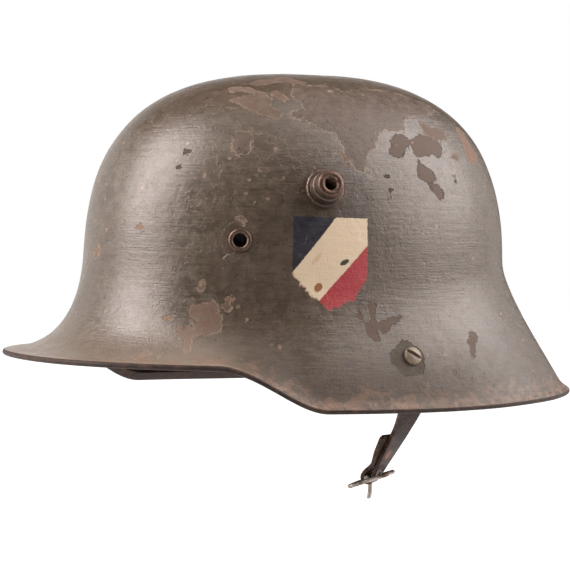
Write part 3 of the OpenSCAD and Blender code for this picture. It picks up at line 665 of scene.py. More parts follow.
# Rust: clouds with a ragged edge, which start where the surface stands out or is worn.
tree, given, put = new_group("rust", {"Place": None, "Scale": 0.1, "Spread": 0.4, "Worn": 0.0},
    ("Mask", "Height"))
cloud = grain(given["Place"], given["Scale"], 6, 0.68)
raised = times_plus(given["Worn"], 0.25, cloud)
edge = minus(0.85, times(given["Spread"], 0.6))
over = times(minus(raised, edge), 9.0)
tree.links.new(add_node("ShaderNodeClamp", {"Value": over}).outputs[0], put["Mask"])
tree.links.new(grain(given["Place"], 1.1, 4, 0.65), put["Height"])
rusting = tree

# Shell paint: grey-brown paint, inside and out, brushed on in level strokes. Outside it has flaked
# off down to an older brown coat and rust, and the shield is plain black, white and red stripes
# over it. The stripes are worked out from place alone, so the inside of the wall shows them too.
shell_paint, tree, shader = new_material("shell paint", (0.09, 0.07, 0.05), 0.4)
at = millimetres()
hem = stored("hem")
where = add_node("ShaderNodeSeparateXYZ", {0: at}).outputs
level_place = add_node("ShaderNodeCombineXYZ", {0: where[0], 1: where[1],
    2: stored("level")}).outputs[0]
strokes = use_group(brush, Place=level_place)
ridges = strokes["Ridges"]
cells = add_node("ShaderNodeTexVoronoi", {"Vector": nudge(at, 0.6, 1.2), "Scale": 0.55})
lot = add_node("ShaderNodeSeparateColor", {0: cells.outputs["Color"]}).outputs
ragged = times_plus(grain(at, 0.30, 3, 0.6), 3.2, -1.6)
ragged = plus(ragged, times_plus(lot[1], 0.9, -0.25))
flake_depth = plus(stored("flaked"), ragged)
flaked = step(flake_depth, -0.15, 0.15)
tone_of_flake = stored("flake_tone")
worn_depth = times_plus(ragged, 1.6, stored("worn"))
worn = step(worn_depth, -0.3, 0.3)
scraped_depth = plus(stored("scraped"), ragged)
scraped = step(scraped_depth, -0.15, 0.15)
density = step(grain(at, 0.03, 3, 0.6), 0.42, 0.68, 0.9985, 0.975)
specked = is_above(lot[0], density)

pits = add_node("ShaderNodeTexVoronoi", {"Vector": nudge(at, 1.2, 0.8), "Scale": 1.1})
pit_lot = add_node("ShaderNodeSeparateColor", {0: pits.outputs["Color"]}).outputs[0]
pitted = is_above(pit_lot, step(grain(at, 0.06, 3), 0.40, 0.65, 0.997, 0.975))
mottle = grain(at, 0.17, 7, 0.75)
patina = grain(at, 0.22, 4, 0.7)
coats = grain(nudge(at, 0.25, 1.5), 0.055, 4, 0.62)
laid = times_plus(ridges, 0.4, times(mottle, 0.6))
paint_tone = mix(step(laid, 0.40, 0.60), (0.050, 0.036, 0.025), (0.088, 0.064, 0.045))
clouds = grain(at, 0.022, 4, 0.6)
paint_tone = mix(step(clouds, 0.38, 0.68, 0, 0.5), paint_tone, (0.058, 0.038, 0.026))
high_up = times_plus(clouds, 70.0, where[2])
paint_tone = mix(step(high_up, 150, 205, 0, 0.7), paint_tone, (0.064, 0.043, 0.029))
blotches = times(step(patina, 0.56, 0.66), step(high_up, 95, 190, 0.0, 0.55))
paint_tone = mix(blotches, paint_tone, (0.135, 0.092, 0.070))
edge_of_coat = step(absolute(minus(coats, 0.53)), 0.012, 0.003)
edge_of_coat = times(edge_of_coat, step(high_up, 110, 200, 0.08, 0.4))
paint_tone = mix(edge_of_coat, paint_tone, (0.16, 0.11, 0.080))
paint_tone = mix(step(coats, 0.52, 0.54, 0, 0.30), paint_tone, (0.082, 0.054, 0.038))
worn_tone = mix(step(mottle, 0.38, 0.62), (0.062, 0.040, 0.030), (0.130, 0.084, 0.065))
worn_tone = mix(step(ridges, 0.35, 0.65, 0, 0.45), worn_tone, (0.064, 0.044, 0.032))
tone = mix(times(worn, step(patina, 0.36, 0.56, 0.25, 0.72)), paint_tone, worn_tone)
rim_of_worn = step(absolute(worn_depth), 0.75, 0.15)
broken = times(rim_of_worn, step(mottle, 0.40, 0.56, 0.05, 0.6))
tone = mix(broken, tone, (0.23, 0.155, 0.11))
flake_tone = mix(step(tone_of_flake, 0, 0.1), (0.038, 0.026, 0.020), (0.090, 0.057, 0.043))
flake_tone = mix(step(tone_of_flake, 0.27, 1.0), flake_tone, (0.190, 0.100, 0.062))
bare = mix(step(tone_of_flake, 0.27, 0.32), (0.112, 0.076, 0.058), (0.130, 0.088, 0.068))
flake_tone = mix(step(mottle, 0.38, 0.60, 0, 0.75), flake_tone, bare)
tone = mix(flaked, tone, flake_tone)
rim_of_flake = step(absolute(minus(flake_depth, 0.30)), 0.5, 0.15)
rim_tone = mix(step(tone_of_flake, 0.22, 0.32), (0.018, 0.012, 0.009), (0.22, 0.150, 0.105))
tone = mix(times(rim_of_flake, step(mottle, 0.36, 0.56, 0.1, 0.6)), tone, rim_tone)
pitted = times(pitted, minus(1.0, flaked))
tone = mix(pitted, tone, (0.030, 0.020, 0.015))
tone = mix(specked, tone, mix(lot[2], (0.050, 0.034, 0.026), (0.20, 0.125, 0.088)))
scrape_tone = mix(grain(at, 0.6, 3), (0.046, 0.034, 0.025), (0.105, 0.080, 0.058))
tone = mix(scraped, tone, scrape_tone)
rim_of_scrape = step(absolute(scraped_depth), 0.5, 0.15)
tone = mix(times(rim_of_scrape, 0.6), tone, (0.028, 0.020, 0.015))


# Brown rust creeps from under the lugs and pins, and along the hem where the paint rubs off.
def away_from(seats):
    """Distance to the nearest of some round pieces on the skin, less the pieces' radius."""
    nearest = None
    for turn, z, radius in seats:
        far = add_node("ShaderNodeVectorMath", {0: at, 1: skin(turn, z)}, operation="DISTANCE")
        far = far.outputs["Value"]
        if radius:
            far = minus(far, radius)
        nearest = far if nearest is None else smaller(nearest, far)
    return nearest


lug_seats = [(side * LUG_TURN, LUG_HEIGHT, 9.8) for side in SIDES]
near = away_from(lug_seats + [(turn, z, 5.6) for turn, z in PINS])
seat = away_from([(turn, z, 0) for turn, z in PINS])
# Painted shade: the paint darkens towards a point just below the left lug, standing for the lug's shadow.
painted_shade_below_lug = step(away_from([(4 - LUG_TURN, 99, 0)]), 42, 5, 0, 0.6)
tone = mix(painted_shade_below_lug, tone, (0.032, 0.022, 0.016))
halo = step(times_plus(ragged, 0.8, near), 2.6, 0.2)
tone = mix(times(halo, 0.7), tone, (0.060, 0.034, 0.022))
hem_place = times_plus(ragged, 0.5, hem)
# The light band along the top of the hem is partly worn paint and partly a painted highlight on the bead.
rubbed_and_lit_hem = times(step(hem_place, -5.5, -2.5), step(hem_place, 0.6, 0.1))
creep = use_group(rusting, Place=at, Scale=0.14, Spread=step(hem, -28, -2, 0.24, 0.66))["Mask"]
front = step(where[0], -70, -100)
low = step(hem, -50, -8)
tone = mix(times(times(low, front), 0.7), tone, (0.185, 0.138, 0.108))
side = times(low, step(where[0], -100, -70))
side = times(side, step(where[0], 115, 20, 0.25, 1.0))
tone = mix(times(side, 0.5), tone, (0.042, 0.028, 0.020))
tone = mix(times(creep, 0.5), tone, (0.165, 0.090, 0.058))
tone = mix(times(rubbed_and_lit_hem, step(mottle, 0.44, 0.60, 0.05, 0.65)), tone, (0.22, 0.142, 0.102))
# Painted shade: the hem's underside and fold are painted dark, with some brown mottling.
shaded_hem_underside = step(hem, 0.1, 0.7)
hem_underside_shade_tone = mix(step(mottle, 0.45, 0.62, 0, 0.6), (0.016, 0.010, 0.009), (0.070, 0.036, 0.025))
tone = mix(times(shaded_hem_underside, 0.94), tone, hem_underside_shade_tone)

split = add_node("ShaderNodeSeparateXYZ", {0: nudge(at, 0.8, 0.7)})
x, y, z = split.outputs


def right_of(start, end):
    """Distance to the right of a line on the side of the shell, from one [x, z] to another."""
    dx, dz = end[0] - start[0], end[1] - start[1]
    long = math.hypot(dx, dz)
    a = times_plus(x, dz / long, -start[0] * dz / long)
    return times_plus(z, -dx / long, plus(a, start[1] * dx / long))


def spot(x, z, long, high, lean):
    """1 on a small oval on the side of the shell."""
    oval_place = add_node("ShaderNodeMapping", {"Vector": nudge(at, 0.7, 1.0),
        "Location": (x, -90, z), "Rotation": (0, math.radians(-lean), 0), "Scale": (long, 90, high)},
        vector_type="TEXTURE").outputs[0]
    out = add_node("ShaderNodeVectorMath", {0: oval_place}, operation="LENGTH").outputs["Value"]
    return step(out, 1.15, 0.85)


SHIELD = ((-10.8, 97.7), (-11.4, 66.5), (-19.5, 56.5), (-32.8, 51.2), (-44, 60.5), (-50.9, 69.9),
    (-49.8, 98.2))
within = minus(0.0, y)
for start, end in zip(SHIELD, SHIELD[1:] + SHIELD[:1]):
    within = smaller(within, right_of(start, end))
nibbled = times_plus(grain(at, 0.35, 4, 0.65), 1.0, -0.46)
within = times_plus(nibbled, step(z, 76, 62, 0.8, 5.5), within)
brown_edge = step(absolute(within), 0.9, 0.1, 0, 0.6)
brown_edge = times(brown_edge, step(z, 76, 66))
within = step(within, -0.2, 0.2)
dark_stripe = step(right_of((-50.9, 69.7), (-27.8, 98.3)), 0.2, -0.2)
red_stripe = step(right_of((-37.6, 55.9), (-11.4, 83.6)), -0.2, 0.2)
shield_tone = mix(dark_stripe, (0.57, 0.43, 0.30), (0.018, 0.017, 0.022))
shield_tone = mix(red_stripe, shield_tone, (0.29, 0.028, 0.034))
shield_tone = mix(step(patina, 0.58, 0.8, 0, 0.25), shield_tone, (0.30, 0.19, 0.12))
shield_tone = mix(spot(-23.9, 75.3, 2.7, 1.2, 28), shield_tone, (0.035, 0.030, 0.022))
shield_tone = mix(spot(-37.8, 62.5, 1.8, 2.6, -35), shield_tone, (0.24, 0.095, 0.040))
faint = times(spot(-38.5, 77.0, 1.2, 4.0, -40), 0.35)
shield_tone = mix(faint, shield_tone, (0.42, 0.22, 0.10))
whole = times(within, minus(1.0, specked))
tone = mix(whole, tone, shield_tone)
tone = mix(brown_edge, tone, (0.105, 0.055, 0.036))
gouge = spot(skin(-135, 76.6).x - 3.3, 76.6, 3.5, 1.5, 8)
tone = mix(times(gouge, 0.5), tone, (0.070, 0.052, 0.040))
feed(shader, "Base Color", tone)

off = larger(flaked, scraped)
kept = minus(1.0, times(off, 0.55))
high = times(strokes["Height"], kept)
high = times_plus(off, -0.13, high)
high = times_plus(worn, -0.05, high)
high = times_plus(specked, -0.12, high)
high = times_plus(pitted, -0.07, high)
high = plus(high, step(times_plus(ragged, 0.6, seat), 8.8, 10.8, 0.15, 0))
high = plus(high, step(coats, 0.525, 0.535, 0.045, 0))
high = times_plus(gouge, 0.30, high)
high = times_plus(mottle, 0.27, high)
set_relief(shader, high)
dull = larger(times(worn, 0.55), times(side, 0.75))
dull = larger(dull, larger(off, shaded_hem_underside))
sheen = times_plus(step(mottle, 0.4, 0.6), 0.12, 0.28)
feed(shader, "Roughness", times_plus(dull, 0.24, sheen))
feed(shader, "Specular IOR Level", times_plus(dull, -0.34, 0.5))
shader.inputs["Specular Tint"].default_value = (1, 0.88, 0.84, 1)

shell.data.materials.append(shell_paint)
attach(shell, "helmet")
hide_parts("steel_shell")


# Vent lugs: hollow, stepped steel studs, turned and riveted into the shell's sides. They are painted with
# the shell, and the paint is worn off their edges. A highlight is painted on their edges, and shade in their
# hollows and on their lower sides.
def turned(name, profile, sides=64):
    """Turns a closed outline of [radius, height], in millimetres, ring by ring on a lathe."""
    r0, z0 = profile[0]
    bpy.ops.object.select_all(action="DESELECT")
    bpy.ops.mesh.primitive_circle_add(vertices=sides, radius=r0 / 1000, location=(0, 0, z0 / 1000))
    piece = bpy.context.object
    piece.name = name
    bpy.ops.object.transform_apply(location=True)
    bpy.ops.object.mode_set(mode="EDIT")
    bpy.ops.mesh.select_all(action="SELECT")
    for r, z in profile[1:] + profile[:1]:
        bpy.ops.mesh.extrude_region_move(TRANSFORM_OT_translate={"value": (0, 0, (z - z0) / 1000)})
        bpy.ops.transform.resize(value=(r / r0, r / r0, 1), center_override=(0, 0, 0))
        r0, z0 = r, z
    bpy.ops.mesh.select_all(action="SELECT")
    bpy.ops.mesh.remove_doubles(threshold=2e-6)
    bpy.ops.mesh.normals_make_consistent(inside=False)
    bpy.ops.object.mode_set(mode="OBJECT")
    return piece


def soften(piece, width, smooth_angle=40, turn_angle=28):
    """Rounds a piece's edges and shades it smooth."""
    hold(piece)
    if width:
        apply_modifier(piece, "rounded edges", "BEVEL", width=width / 1000, segments=2,
            limit_method="ANGLE", angle_limit=math.radians(turn_angle))
    bpy.ops.object.shade_smooth_by_angle(angle=math.radians(smooth_angle))


def mark_edges(piece, gain=1.0):
    """Stores how sharply each point stands out, for wear, and how far it is sunk, for painted shade."""
    mesh = bmesh.new()
    mesh.from_mesh(piece.data)
    mesh.edges.ensure_lookup_table()
    bend = [e.calc_face_angle_signed(0.0) for e in mesh.edges]
    values = np.array([sum(bend[e.index] for e in v.link_edges) for v in mesh.verts])
    links = np.array([[v.index for v in e.verts] for e in mesh.edges])
    mesh.free()
    for _ in range(2):
        total, count = values.copy(), np.ones(len(values))
        np.add.at(total, links[:, 0], values[links[:, 1]])
        np.add.at(total, links[:, 1], values[links[:, 0]])
        np.add.at(count, links.ravel(), 1)
        values = total / count
    store(piece, "worn", values * gain)


lug_paint, tree, shader = new_material("lug paint", (0.10, 0.08, 0.06), 0.36, 0.55)
shader.inputs["Specular Tint"].default_value = (1, 0.84, 0.76, 1)
at = millimetres()
worn = stored("worn")
rust = use_group(rusting, Place=at, Scale=0.30, Spread=0.45, Worn=worn)
tone = mix(rust["Mask"], (0.075, 0.050, 0.037), (0.062, 0.030, 0.019))
# Edges that stand out are lighter: partly worn paint, partly a painted highlight.
tone = mix(step(times(worn, grain(at, 0.8, 3)), 0.50, 0.95, 0, 0.8),
    tone, (0.44, 0.32, 0.245))
# Painted shade: where the surface is sunk, it is painted near black.
tone = mix(step(worn, -0.05, -0.4, 0, 0.8), tone, (0.022, 0.015, 0.012))
# Painted shade: the lugs' lower sides are painted darker, as if lit from above; the pins, lower down, keep
# their tone.
below = add_node("ShaderNodeSeparateXYZ", {0: at}).outputs[2]
tone = mix(step(below, 112, 102, 0, 0.75), tone, mix(step(below, 90, 92), tone,
    (0.020, 0.013, 0.010)))
feed(shader, "Base Color", tone)
set_relief(shader, times(rust["Height"], 0.16))

lug_profile = [(3.3, -4.4), (6.6, -4.4), (7.1, -4), (7.1, -3.5), (5.5, -3.5), (5.5, 0), (9.8, 0), (10, 0.3),
    (10, 1.4), (9.7, 1.9), (9.1, 2.15), (8.5, 2.25), (8.2, 2.7), (8.2, 5.4), (8.05, 5.95), (7.6, 6.35),
    (7.15, 6.6), (7.0, 7.1), (7.0, 10.2), (6.8, 11.0), (6.2, 11.6), (5.3, 11.9), (4.4, 11.85), (3.75, 11.55),
    (3.3, 11)]
for name, side in (("left_vent_lug", -1), ("right_vent_lug", 1)):
    lug = turned("turned_" + name, lug_profile)
    lug.data.transform(on_skin(side * LUG_TURN, LUG_HEIGHT))
    soften(lug, 0)
    mark_edges(lug)
    lug.data.materials.append(lug_paint)
    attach(lug, "helmet")
    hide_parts(name)

# Lug washers: two rings of plain sheet iron, under the lugs' riveted ends. They and the other
# iron fittings inside are the frame's own solids, browned all over.
dark_iron, tree, shader = new_material("dark iron", (0.05, 0.04, 0.032), 0.55, 0.45)
at = millimetres()
rust = use_group(rusting, Place=at, Scale=0.12, Spread=0.5)
tone = mix(rust["Mask"], (0.048, 0.038, 0.032), (0.150, 0.072, 0.038))
tone = mix(step(grain(at, 0.5, 3), 0.55, 0.75, 0, 0.6), tone, (0.085, 0.066, 0.052))
feed(shader, "Base Color", tone)
set_relief(shader, times(rust["Height"], 0.10))


def refinish(finish, *names):
    for name in names:
        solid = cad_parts[name]
        solid.data.materials.clear()
        solid.data.materials.append(finish)


refinish(dark_iron, "vent_lug_washers")

# Liner pins: three short steel tubes with a thin ring outside, rolled over inside. They hold the liner band
# through a spacer, and carry the shell's paint. A dark disc closes each bore part way in, standing for the
# shade inside the tube.
pin_profile = [(3.4, -7.4), (4.8, -7.4), (5.2, -6.9), (5.2, -6.4), (4.2, -6.4), (4.2, 0), (5.9, 0),
    (6, 0.25), (5.8, 0.6), (5.3, 0.95), (4.8, 1.1), (4.3, 1.0), (3.8, 0.7), (3.5, 0.3), (3.4, -0.2),
    (3.3, -4.6), (0.0005, -4.8), (0.0005, -5.6), (3.4, -5.6)]
pins = []
for turn, z in PINS:
    pin = turned("turned_pin", pin_profile, 48)
    pin.data.transform(on_skin(turn, z))
    pins.append(pin)
pin = join(pins, "turned_liner_pins")
soften(pin, 0)
mark_edges(pin, 0.6)
pin.data.materials.append(lug_paint)
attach(pin, "helmet")
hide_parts("liner_pins")

# Spacers: three turned iron rings, one round each pin, which keep the band off the shell. The
# pins clamp them.
refinish(dark_iron, "liner_pin_spacers")

# Pin washers: three rings of sheet iron on the inner side of the band. The pins' rolled ends
# press on them.
refinish(dark_iron, "liner_pin_washers")

# Liner band: a strip of sheet iron, bent into a hoop that stands off the shell on its three pins
# and carries the pads.
refinish(dark_iron, "liner_band")

# Leather pads: three pieces of leather on the band, each cut into two tongues that reach up under
# the crown. Their backs make pockets for the cushions.
PAD_SPANS = {"front": (142, 218), "left": (-128, -7), "right": (7, 128)}
PAD_LOW = 79.0
PAD_NEAR = 4.1
TONGUE_END = 12
HEAD_SPACE = 16.0
LEATHER = 1.8
PAD_COLUMNS, PAD_ROWS = 56, 22


def dome_fall(turn, z):
    wall = wall_height(turn)
    return np.degrees(np.arccos(((z - wall) / (SHELL_HEIGHT - wall)) ** (PROFILE_POWER / 2)))


def pad_share(turn, z):
    """Share of the way from a pad's lower edge to the end of its tongue."""
    start = dome_fall(turn, PAD_LOW)
    return (start - dome_fall(turn, z)) / (start - TONGUE_END)


def pad_point(turn, share, depth):
    start = dome_fall(turn, PAD_LOW)
    fall = start + (TONGUE_END - start) * share
    lower = dome_point(turn, np.maximum(fall + 0.05, np.minimum(89.9, fall + 1)))
    d = lower - dome_point(turn, fall - 1)
    d /= np.linalg.norm(d, axis=-1, keepdims=True)
    rz = dome_point(turn, fall) + np.stack([d[..., 1], -d[..., 0]], -1) * (STEEL + depth)[..., None]
    angle = np.radians(turn)
    return np.stack([rz[..., 0] * np.cos(angle), rz[..., 0] * np.sin(angle), rz[..., 1]], -1)


def pad_depth(share):
    """Depth of a pad's outer side under the steel: near it at the band, far off at the crown."""
    return PAD_NEAR + (HEAD_SPACE - PAD_NEAR) * smooth((share - 0.09) / 0.26)


tree, given, put = new_group("leather grain", {"Place": None, "Scale": 0.9}, ("Grain", "Creases"))
pores = add_node("ShaderNodeTexVoronoi", {"Vector": nudge(given["Place"], 0.8, 0.8),
    "Scale": given["Scale"]}, feature="SMOOTH_F1")
tree.links.new(pores.outputs["Distance"], put["Grain"])
folds = grain(nudge(given["Place"], 0.05, 8), 0.16, 5, 0.6)
tree.links.new(step(absolute(minus(folds, 0.5)), 0.05, 0.0), put["Creases"])
hide = tree

pad_leather, tree, shader = new_material("pad leather", (0.16, 0.085, 0.045), 0.55)
at = millimetres()
grained = use_group(hide, Place=at, Scale=0.9)
clouds = grain(at, 0.04, 5, 0.65)
rub = times_plus(stored("worn"), 0.6, clouds)
tone = mix(step(clouds, 0.35, 0.68), (0.075, 0.036, 0.019), (0.185, 0.095, 0.048))
tone = mix(step(rub, 0.62, 0.85, 0, 0.8), tone, (0.30, 0.185, 0.105))
# Painted shade: the pads' backs, facing the steel, are painted near black.
tone = mix(stored("back"), tone, (0.018, 0.011, 0.008))
tone = mix(times(grained["Creases"], 0.6), tone, (0.035, 0.018, 0.011))
feed(shader, "Base Color", tone)
feed(shader, "Roughness", step(clouds, 0.3, 0.7, 0.62, 0.45))
high = times_plus(grained["Grain"], 0.12, times(grained["Creases"], -0.15))
set_relief(shader, high)

for side, (first, last) in PAD_SPANS.items():
    bpy.ops.object.select_all(action="DESELECT")
    bpy.ops.mesh.primitive_grid_add(x_subdivisions=PAD_COLUMNS, y_subdivisions=PAD_ROWS, size=1)
    pad = bpy.context.object
    pad.name = side + "_leather_pad"
    flat = vertex_places(pad)
    i = np.rint((flat[:, 0] + 0.5) * PAD_COLUMNS)
    half = PAD_COLUMNS // 2
    tongue = (i > half).astype(float)
    x = (1 - np.cos(np.pi * (i - tongue * half) / half)) / 2
    top = 0.09 + 0.91 * np.clip(1 - np.abs(2 * x - 1) ** 4, 0, 1) ** (1 / 3)
    turn = first + (last - first) * (tongue + x) / 2
    share = top * (flat[:, 1] + 0.5) ** 1.6
    places = pad_point(turn, share, pad_depth(share) + LEATHER / 2)
    sag = np.array([noise.noise(Vector(p) / 15) for p in places]) * 0.5 * smooth((share - 0.15) / 0.2)
    places += sag[:, None] * (places - HEART) / np.linalg.norm(places - HEART, axis=1, keepdims=True)
    set_places(pad, places / 1000)
    apply_modifier(pad, "leather", "SOLIDIFY", thickness=LEATHER / 1000, offset=0)
    soften(pad, 0.45, 60, 50)
    mark_edges(pad)
    # Marks the backs, which face the steel and get painted shade.
    away = [float((v.co * 1000 - Vector(HEART)).normalized() @ v.normal > 0.3) for v in pad.data.vertices]
    store(pad, "back", away)
    pad.data.materials.append(pad_leather)
    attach(pad, "helmet")
    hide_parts(side + "_pad")

# Pad rivets: twelve small iron rivets through the band, which hold the pads' lower edges to it.
# Their heads lie on the leather.
refinish(dark_iron, "pad_rivets")

# Cushions: three linen bags stuffed with horsehair, pushed into the pockets behind the leather.
# The stuffing swells each one by cloth simulation, held within its pocket.
linen, tree, shader = new_material("linen", (0.36, 0.30, 0.21), 0.9)
at = millimetres()
wavy = nudge(at, 0.15, 1.2)
warp = add_node("ShaderNodeTexWave", {"Vector": wavy, "Scale": 0.38, "Distortion": 0.6, "Detail": 1.0},
    bands_direction="Z").outputs["Fac"]
weft_place = stretch(wavy, (0.55, 0.55, 0.0))
weft = add_node("ShaderNodeTexWave", {"Vector": weft_place, "Scale": 0.62, "Distortion": 0.6,
    "Detail": 1.0}, bands_direction="DIAGONAL").outputs["Fac"]
weave = larger(warp, weft)
soil = grain(at, 0.05, 5, 0.65)
tone = mix(step(soil, 0.35, 0.7), (0.185, 0.140, 0.085), (0.40, 0.335, 0.235))
tone = mix(step(weave, 0.7, 0.2, 0, 0.45), tone, (0.11, 0.082, 0.05))
feed(shader, "Base Color", tone)
set_relief(shader, times(weave, 0.16))

LUG_WASHER_RADIUS, LUG_GAP = 9, 3
CUSHION_ENDS = 6
SHELL_GAP, PAD_GAP = 0.85, 1.3
MOST_SWELL = 0.001
SETTLING_FRAMES = 20
cushion_low = pad_share(np.array([float(LUG_TURN)]), LUG_HEIGHT + LUG_WASHER_RADIUS + LUG_GAP)[0]
cushions = []
for side, (first, last) in PAD_SPANS.items():
    bpy.ops.object.select_all(action="DESELECT")
    bpy.ops.mesh.primitive_cube_add(size=2, location=(0, 0, 0))
    cushion = bpy.context.object
    cushion.name = side + "_linen_cushion"
    bpy.ops.object.mode_set(mode="EDIT")
    bpy.ops.mesh.select_all(action="SELECT")
    bpy.ops.mesh.subdivide(number_cuts=15)
    bpy.ops.object.mode_set(mode="OBJECT")
    block = vertex_places(cushion)
    u, v, thick = 0.5 + 0.482 * block[:, 0], 0.5 + 0.46 * block[:, 1], block[:, 2]
    crown = 0.3 + 0.7 * np.sqrt((1 - np.abs(2 * u - 1) ** 6) * (1 - (2 * v - 1) ** 4))
    share = cushion_low + 0.36 * v + 0.02 * (1 - (2 * u - 1) ** 2) * (2 * v - 1)
    low, high = SHELL_GAP, pad_depth(share) - PAD_GAP
    depth = (low + high) / 2 + thick * ((high - low) / 2 - 1.2) * crown
    turn = first + CUSHION_ENDS + (last - first - 2 * CUSHION_ENDS) * u
    set_places(cushion, pad_point(turn, share, depth) / 1000)
    bpy.ops.object.mode_set(mode="EDIT")
    bpy.ops.mesh.select_all(action="SELECT")
    bpy.ops.mesh.normals_make_consistent(inside=False)
    bpy.ops.object.mode_set(mode="OBJECT")
    apply_modifier(cushion, "even mesh", "REMESH", mode="VOXEL", voxel_size=0.004)
    cushions.append(cushion)
for cushion in cushions:
    stuffing = cushion.modifiers.new("stuffing", "CLOTH")
    stuffing.settings.quality = 5
    stuffing.settings.mass = 0.2
    stuffing.settings.use_pressure = True
    stuffing.settings.uniform_pressure_force = 4
    stuffing.settings.effector_weights.gravity = 0
    stuffing.point_cache.frame_end = SETTLING_FRAMES
for number in range(1, SETTLING_FRAMES + 1):
    bpy.context.scene.frame_set(number)
for cushion in cushions:
    hold(cushion)
    before = vertex_places(cushion)
    bpy.ops.object.modifier_apply(modifier="stuffing")
    move = vertex_places(cushion) - before
    far = np.linalg.norm(move, axis=1, keepdims=True)
    set_places(cushion, before + move * np.minimum(1, MOST_SWELL / np.maximum(far, 1e-9)))
bpy.context.scene.frame_set(1)
for side, cushion in zip(PAD_SPANS, cushions):
    apply_modifier(cushion, "finer", "SUBSURF", levels=1, render_levels=1)
    bpy.ops.object.shade_smooth()
    cushion.data.materials.append(linen)
    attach(cushion, "helmet")
    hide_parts(side + "_cushion")

# Strap screws: steel screws with domed, slotted heads, one low on each side. They hold the strap
# fittings, and their heads have lost their paint.
bare_steel, tree, shader = new_material("bare steel", (0.30, 0.23, 0.17), 0.5, 0.3)
at = millimetres()
worn = stored("worn")
rust = use_group(rusting, Place=at, Scale=0.45, Spread=0.42)
tone = mix(grain(at, 1.2, 4, 0.7), (0.105, 0.074, 0.050), (0.245, 0.182, 0.128))
tone = mix(times(rust["Mask"], 0.8), tone, (0.14, 0.075, 0.048))
# Painted shade: the slot and other sunk places are painted near black.
tone = mix(step(worn, -0.02, -0.22, 0, 0.96), tone, (0.012, 0.008, 0.006))
feed(shader, "Base Color", tone)
feed(shader, "Roughness", times_plus(rust["Mask"], 0.2, 0.5))
set_relief(shader, times(rust["Height"], 0.12))

HEAD_RADIUS, HEAD_EDGE, HEAD_DOME = 4.85, 1.1, 2.3
screw_profile = [(0.0005, -8.5), (2.1, -8.5), (2.5, -8.1), (2.5, 0), (4.6, 0), (HEAD_RADIUS, 0.3),
    (HEAD_RADIUS, HEAD_EDGE)]
for a in range(12, 85, 12):
    level = math.radians(a)
    screw_profile.append((HEAD_RADIUS * math.cos(level), HEAD_EDGE + HEAD_DOME * math.sin(level)))
screw_profile.append((0.0005, HEAD_EDGE + HEAD_DOME))
screws = []
for side in SIDES:
    screw = turned("screw", screw_profile, 48)
    bpy.ops.object.select_all(action="DESELECT")
    bpy.ops.mesh.primitive_cube_add(size=1, location=(0, 0, 0.0042))
    blade = bpy.context.object
    blade.scale = (0.012, 0.0021, 0.0054)
    blade.rotation_euler = (0, 0, math.radians(56))
    apply_modifier(screw, "slot", "BOOLEAN", object=blade, operation="DIFFERENCE")
    bpy.data.objects.remove(blade)
    screw.data.transform(on_skin(side * SCREW_TURN, SCREW_HEIGHT))
    screws.append(screw)
screw = join(screws, "slotted_screws")
soften(screw, 0.15, 40, 50)
mark_edges(screw)
screw.data.materials.append(bare_steel)
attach(screw, "helmet")
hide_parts("strap_screws")

# Screw nuts: two square iron nuts, one on each screw's thread inside the shell. Each clamps a
# bracket.
refinish(dark_iron, "strap_screw_nuts")

# Strap brackets: a bent plate of sheet iron on each screw, under its nut. Its lower end is rolled
# into an eye.
refinish(dark_iron, "left_strap_bracket", "right_strap_bracket")

# Strap rings: a closed ring of iron wire that swings in each bracket's eye. The left one carries
# the strap.
refinish(dark_iron, "left_strap_ring", "right_strap_ring")

# Chin strap: dark leather, folded over the ring and sewn, then round the buckle's middle bar and
# back. It leans in under the skirt and twists towards its buckle.
RING_BAR = np.array([9.8985, -104.966, 6.2097])
TOP_TURN = 1.69693
TWIST = 45
TOP_LEAN, END_LEAN = 35, 26
STRAP_THICK = 2.2
STRAP_LENGTH = 47.5
HALF_WIDTH = 7.0
TAIL_LENGTH, RETURN_LENGTH = 25, 8
LOOP_GAP = 0.4
FOLD_GAP = 0.1
TOP_LOOP = 1.3 + LOOP_GAP + STRAP_THICK / 2
END_LOOP = 1.1 + LOOP_GAP + STRAP_THICK / 2
STRAP_STEPS = 48


def across(s):
    t = math.radians(TOP_TURN + TWIST * s)
    return np.array([math.cos(t), math.sin(t), 0])


def along(s):
    t, lean = math.radians(TOP_TURN + TWIST * s), math.radians(TOP_LEAN + (END_LEAN - TOP_LEAN) * s)
    return np.array([-math.sin(t) * math.sin(lean), math.cos(t) * math.sin(lean), -math.cos(lean)])


def facing(s):
    return np.cross(across(s), along(s))


line = [RING_BAR - facing(0) * TOP_LOOP]
for i in range(STRAP_STEPS):
    line.append(line[-1] + along((i + 0.5) / STRAP_STEPS) * STRAP_LENGTH / STRAP_STEPS)
BUCKLE_BAR = line[-1] + facing(1) * END_LOOP


def strap_at(s):
    i = min(STRAP_STEPS - 1, int(s * STRAP_STEPS))
    return line[i] + (line[i + 1] - line[i]) * (s * STRAP_STEPS - i)


def laid_back(loop, settled):
    """How far a folded-back end stands off the strap: a loop's width, then close on it."""
    close = STRAP_THICK + FOLD_GAP
    return close + (2 * loop - close) * (1 - float(smooth(settled)))


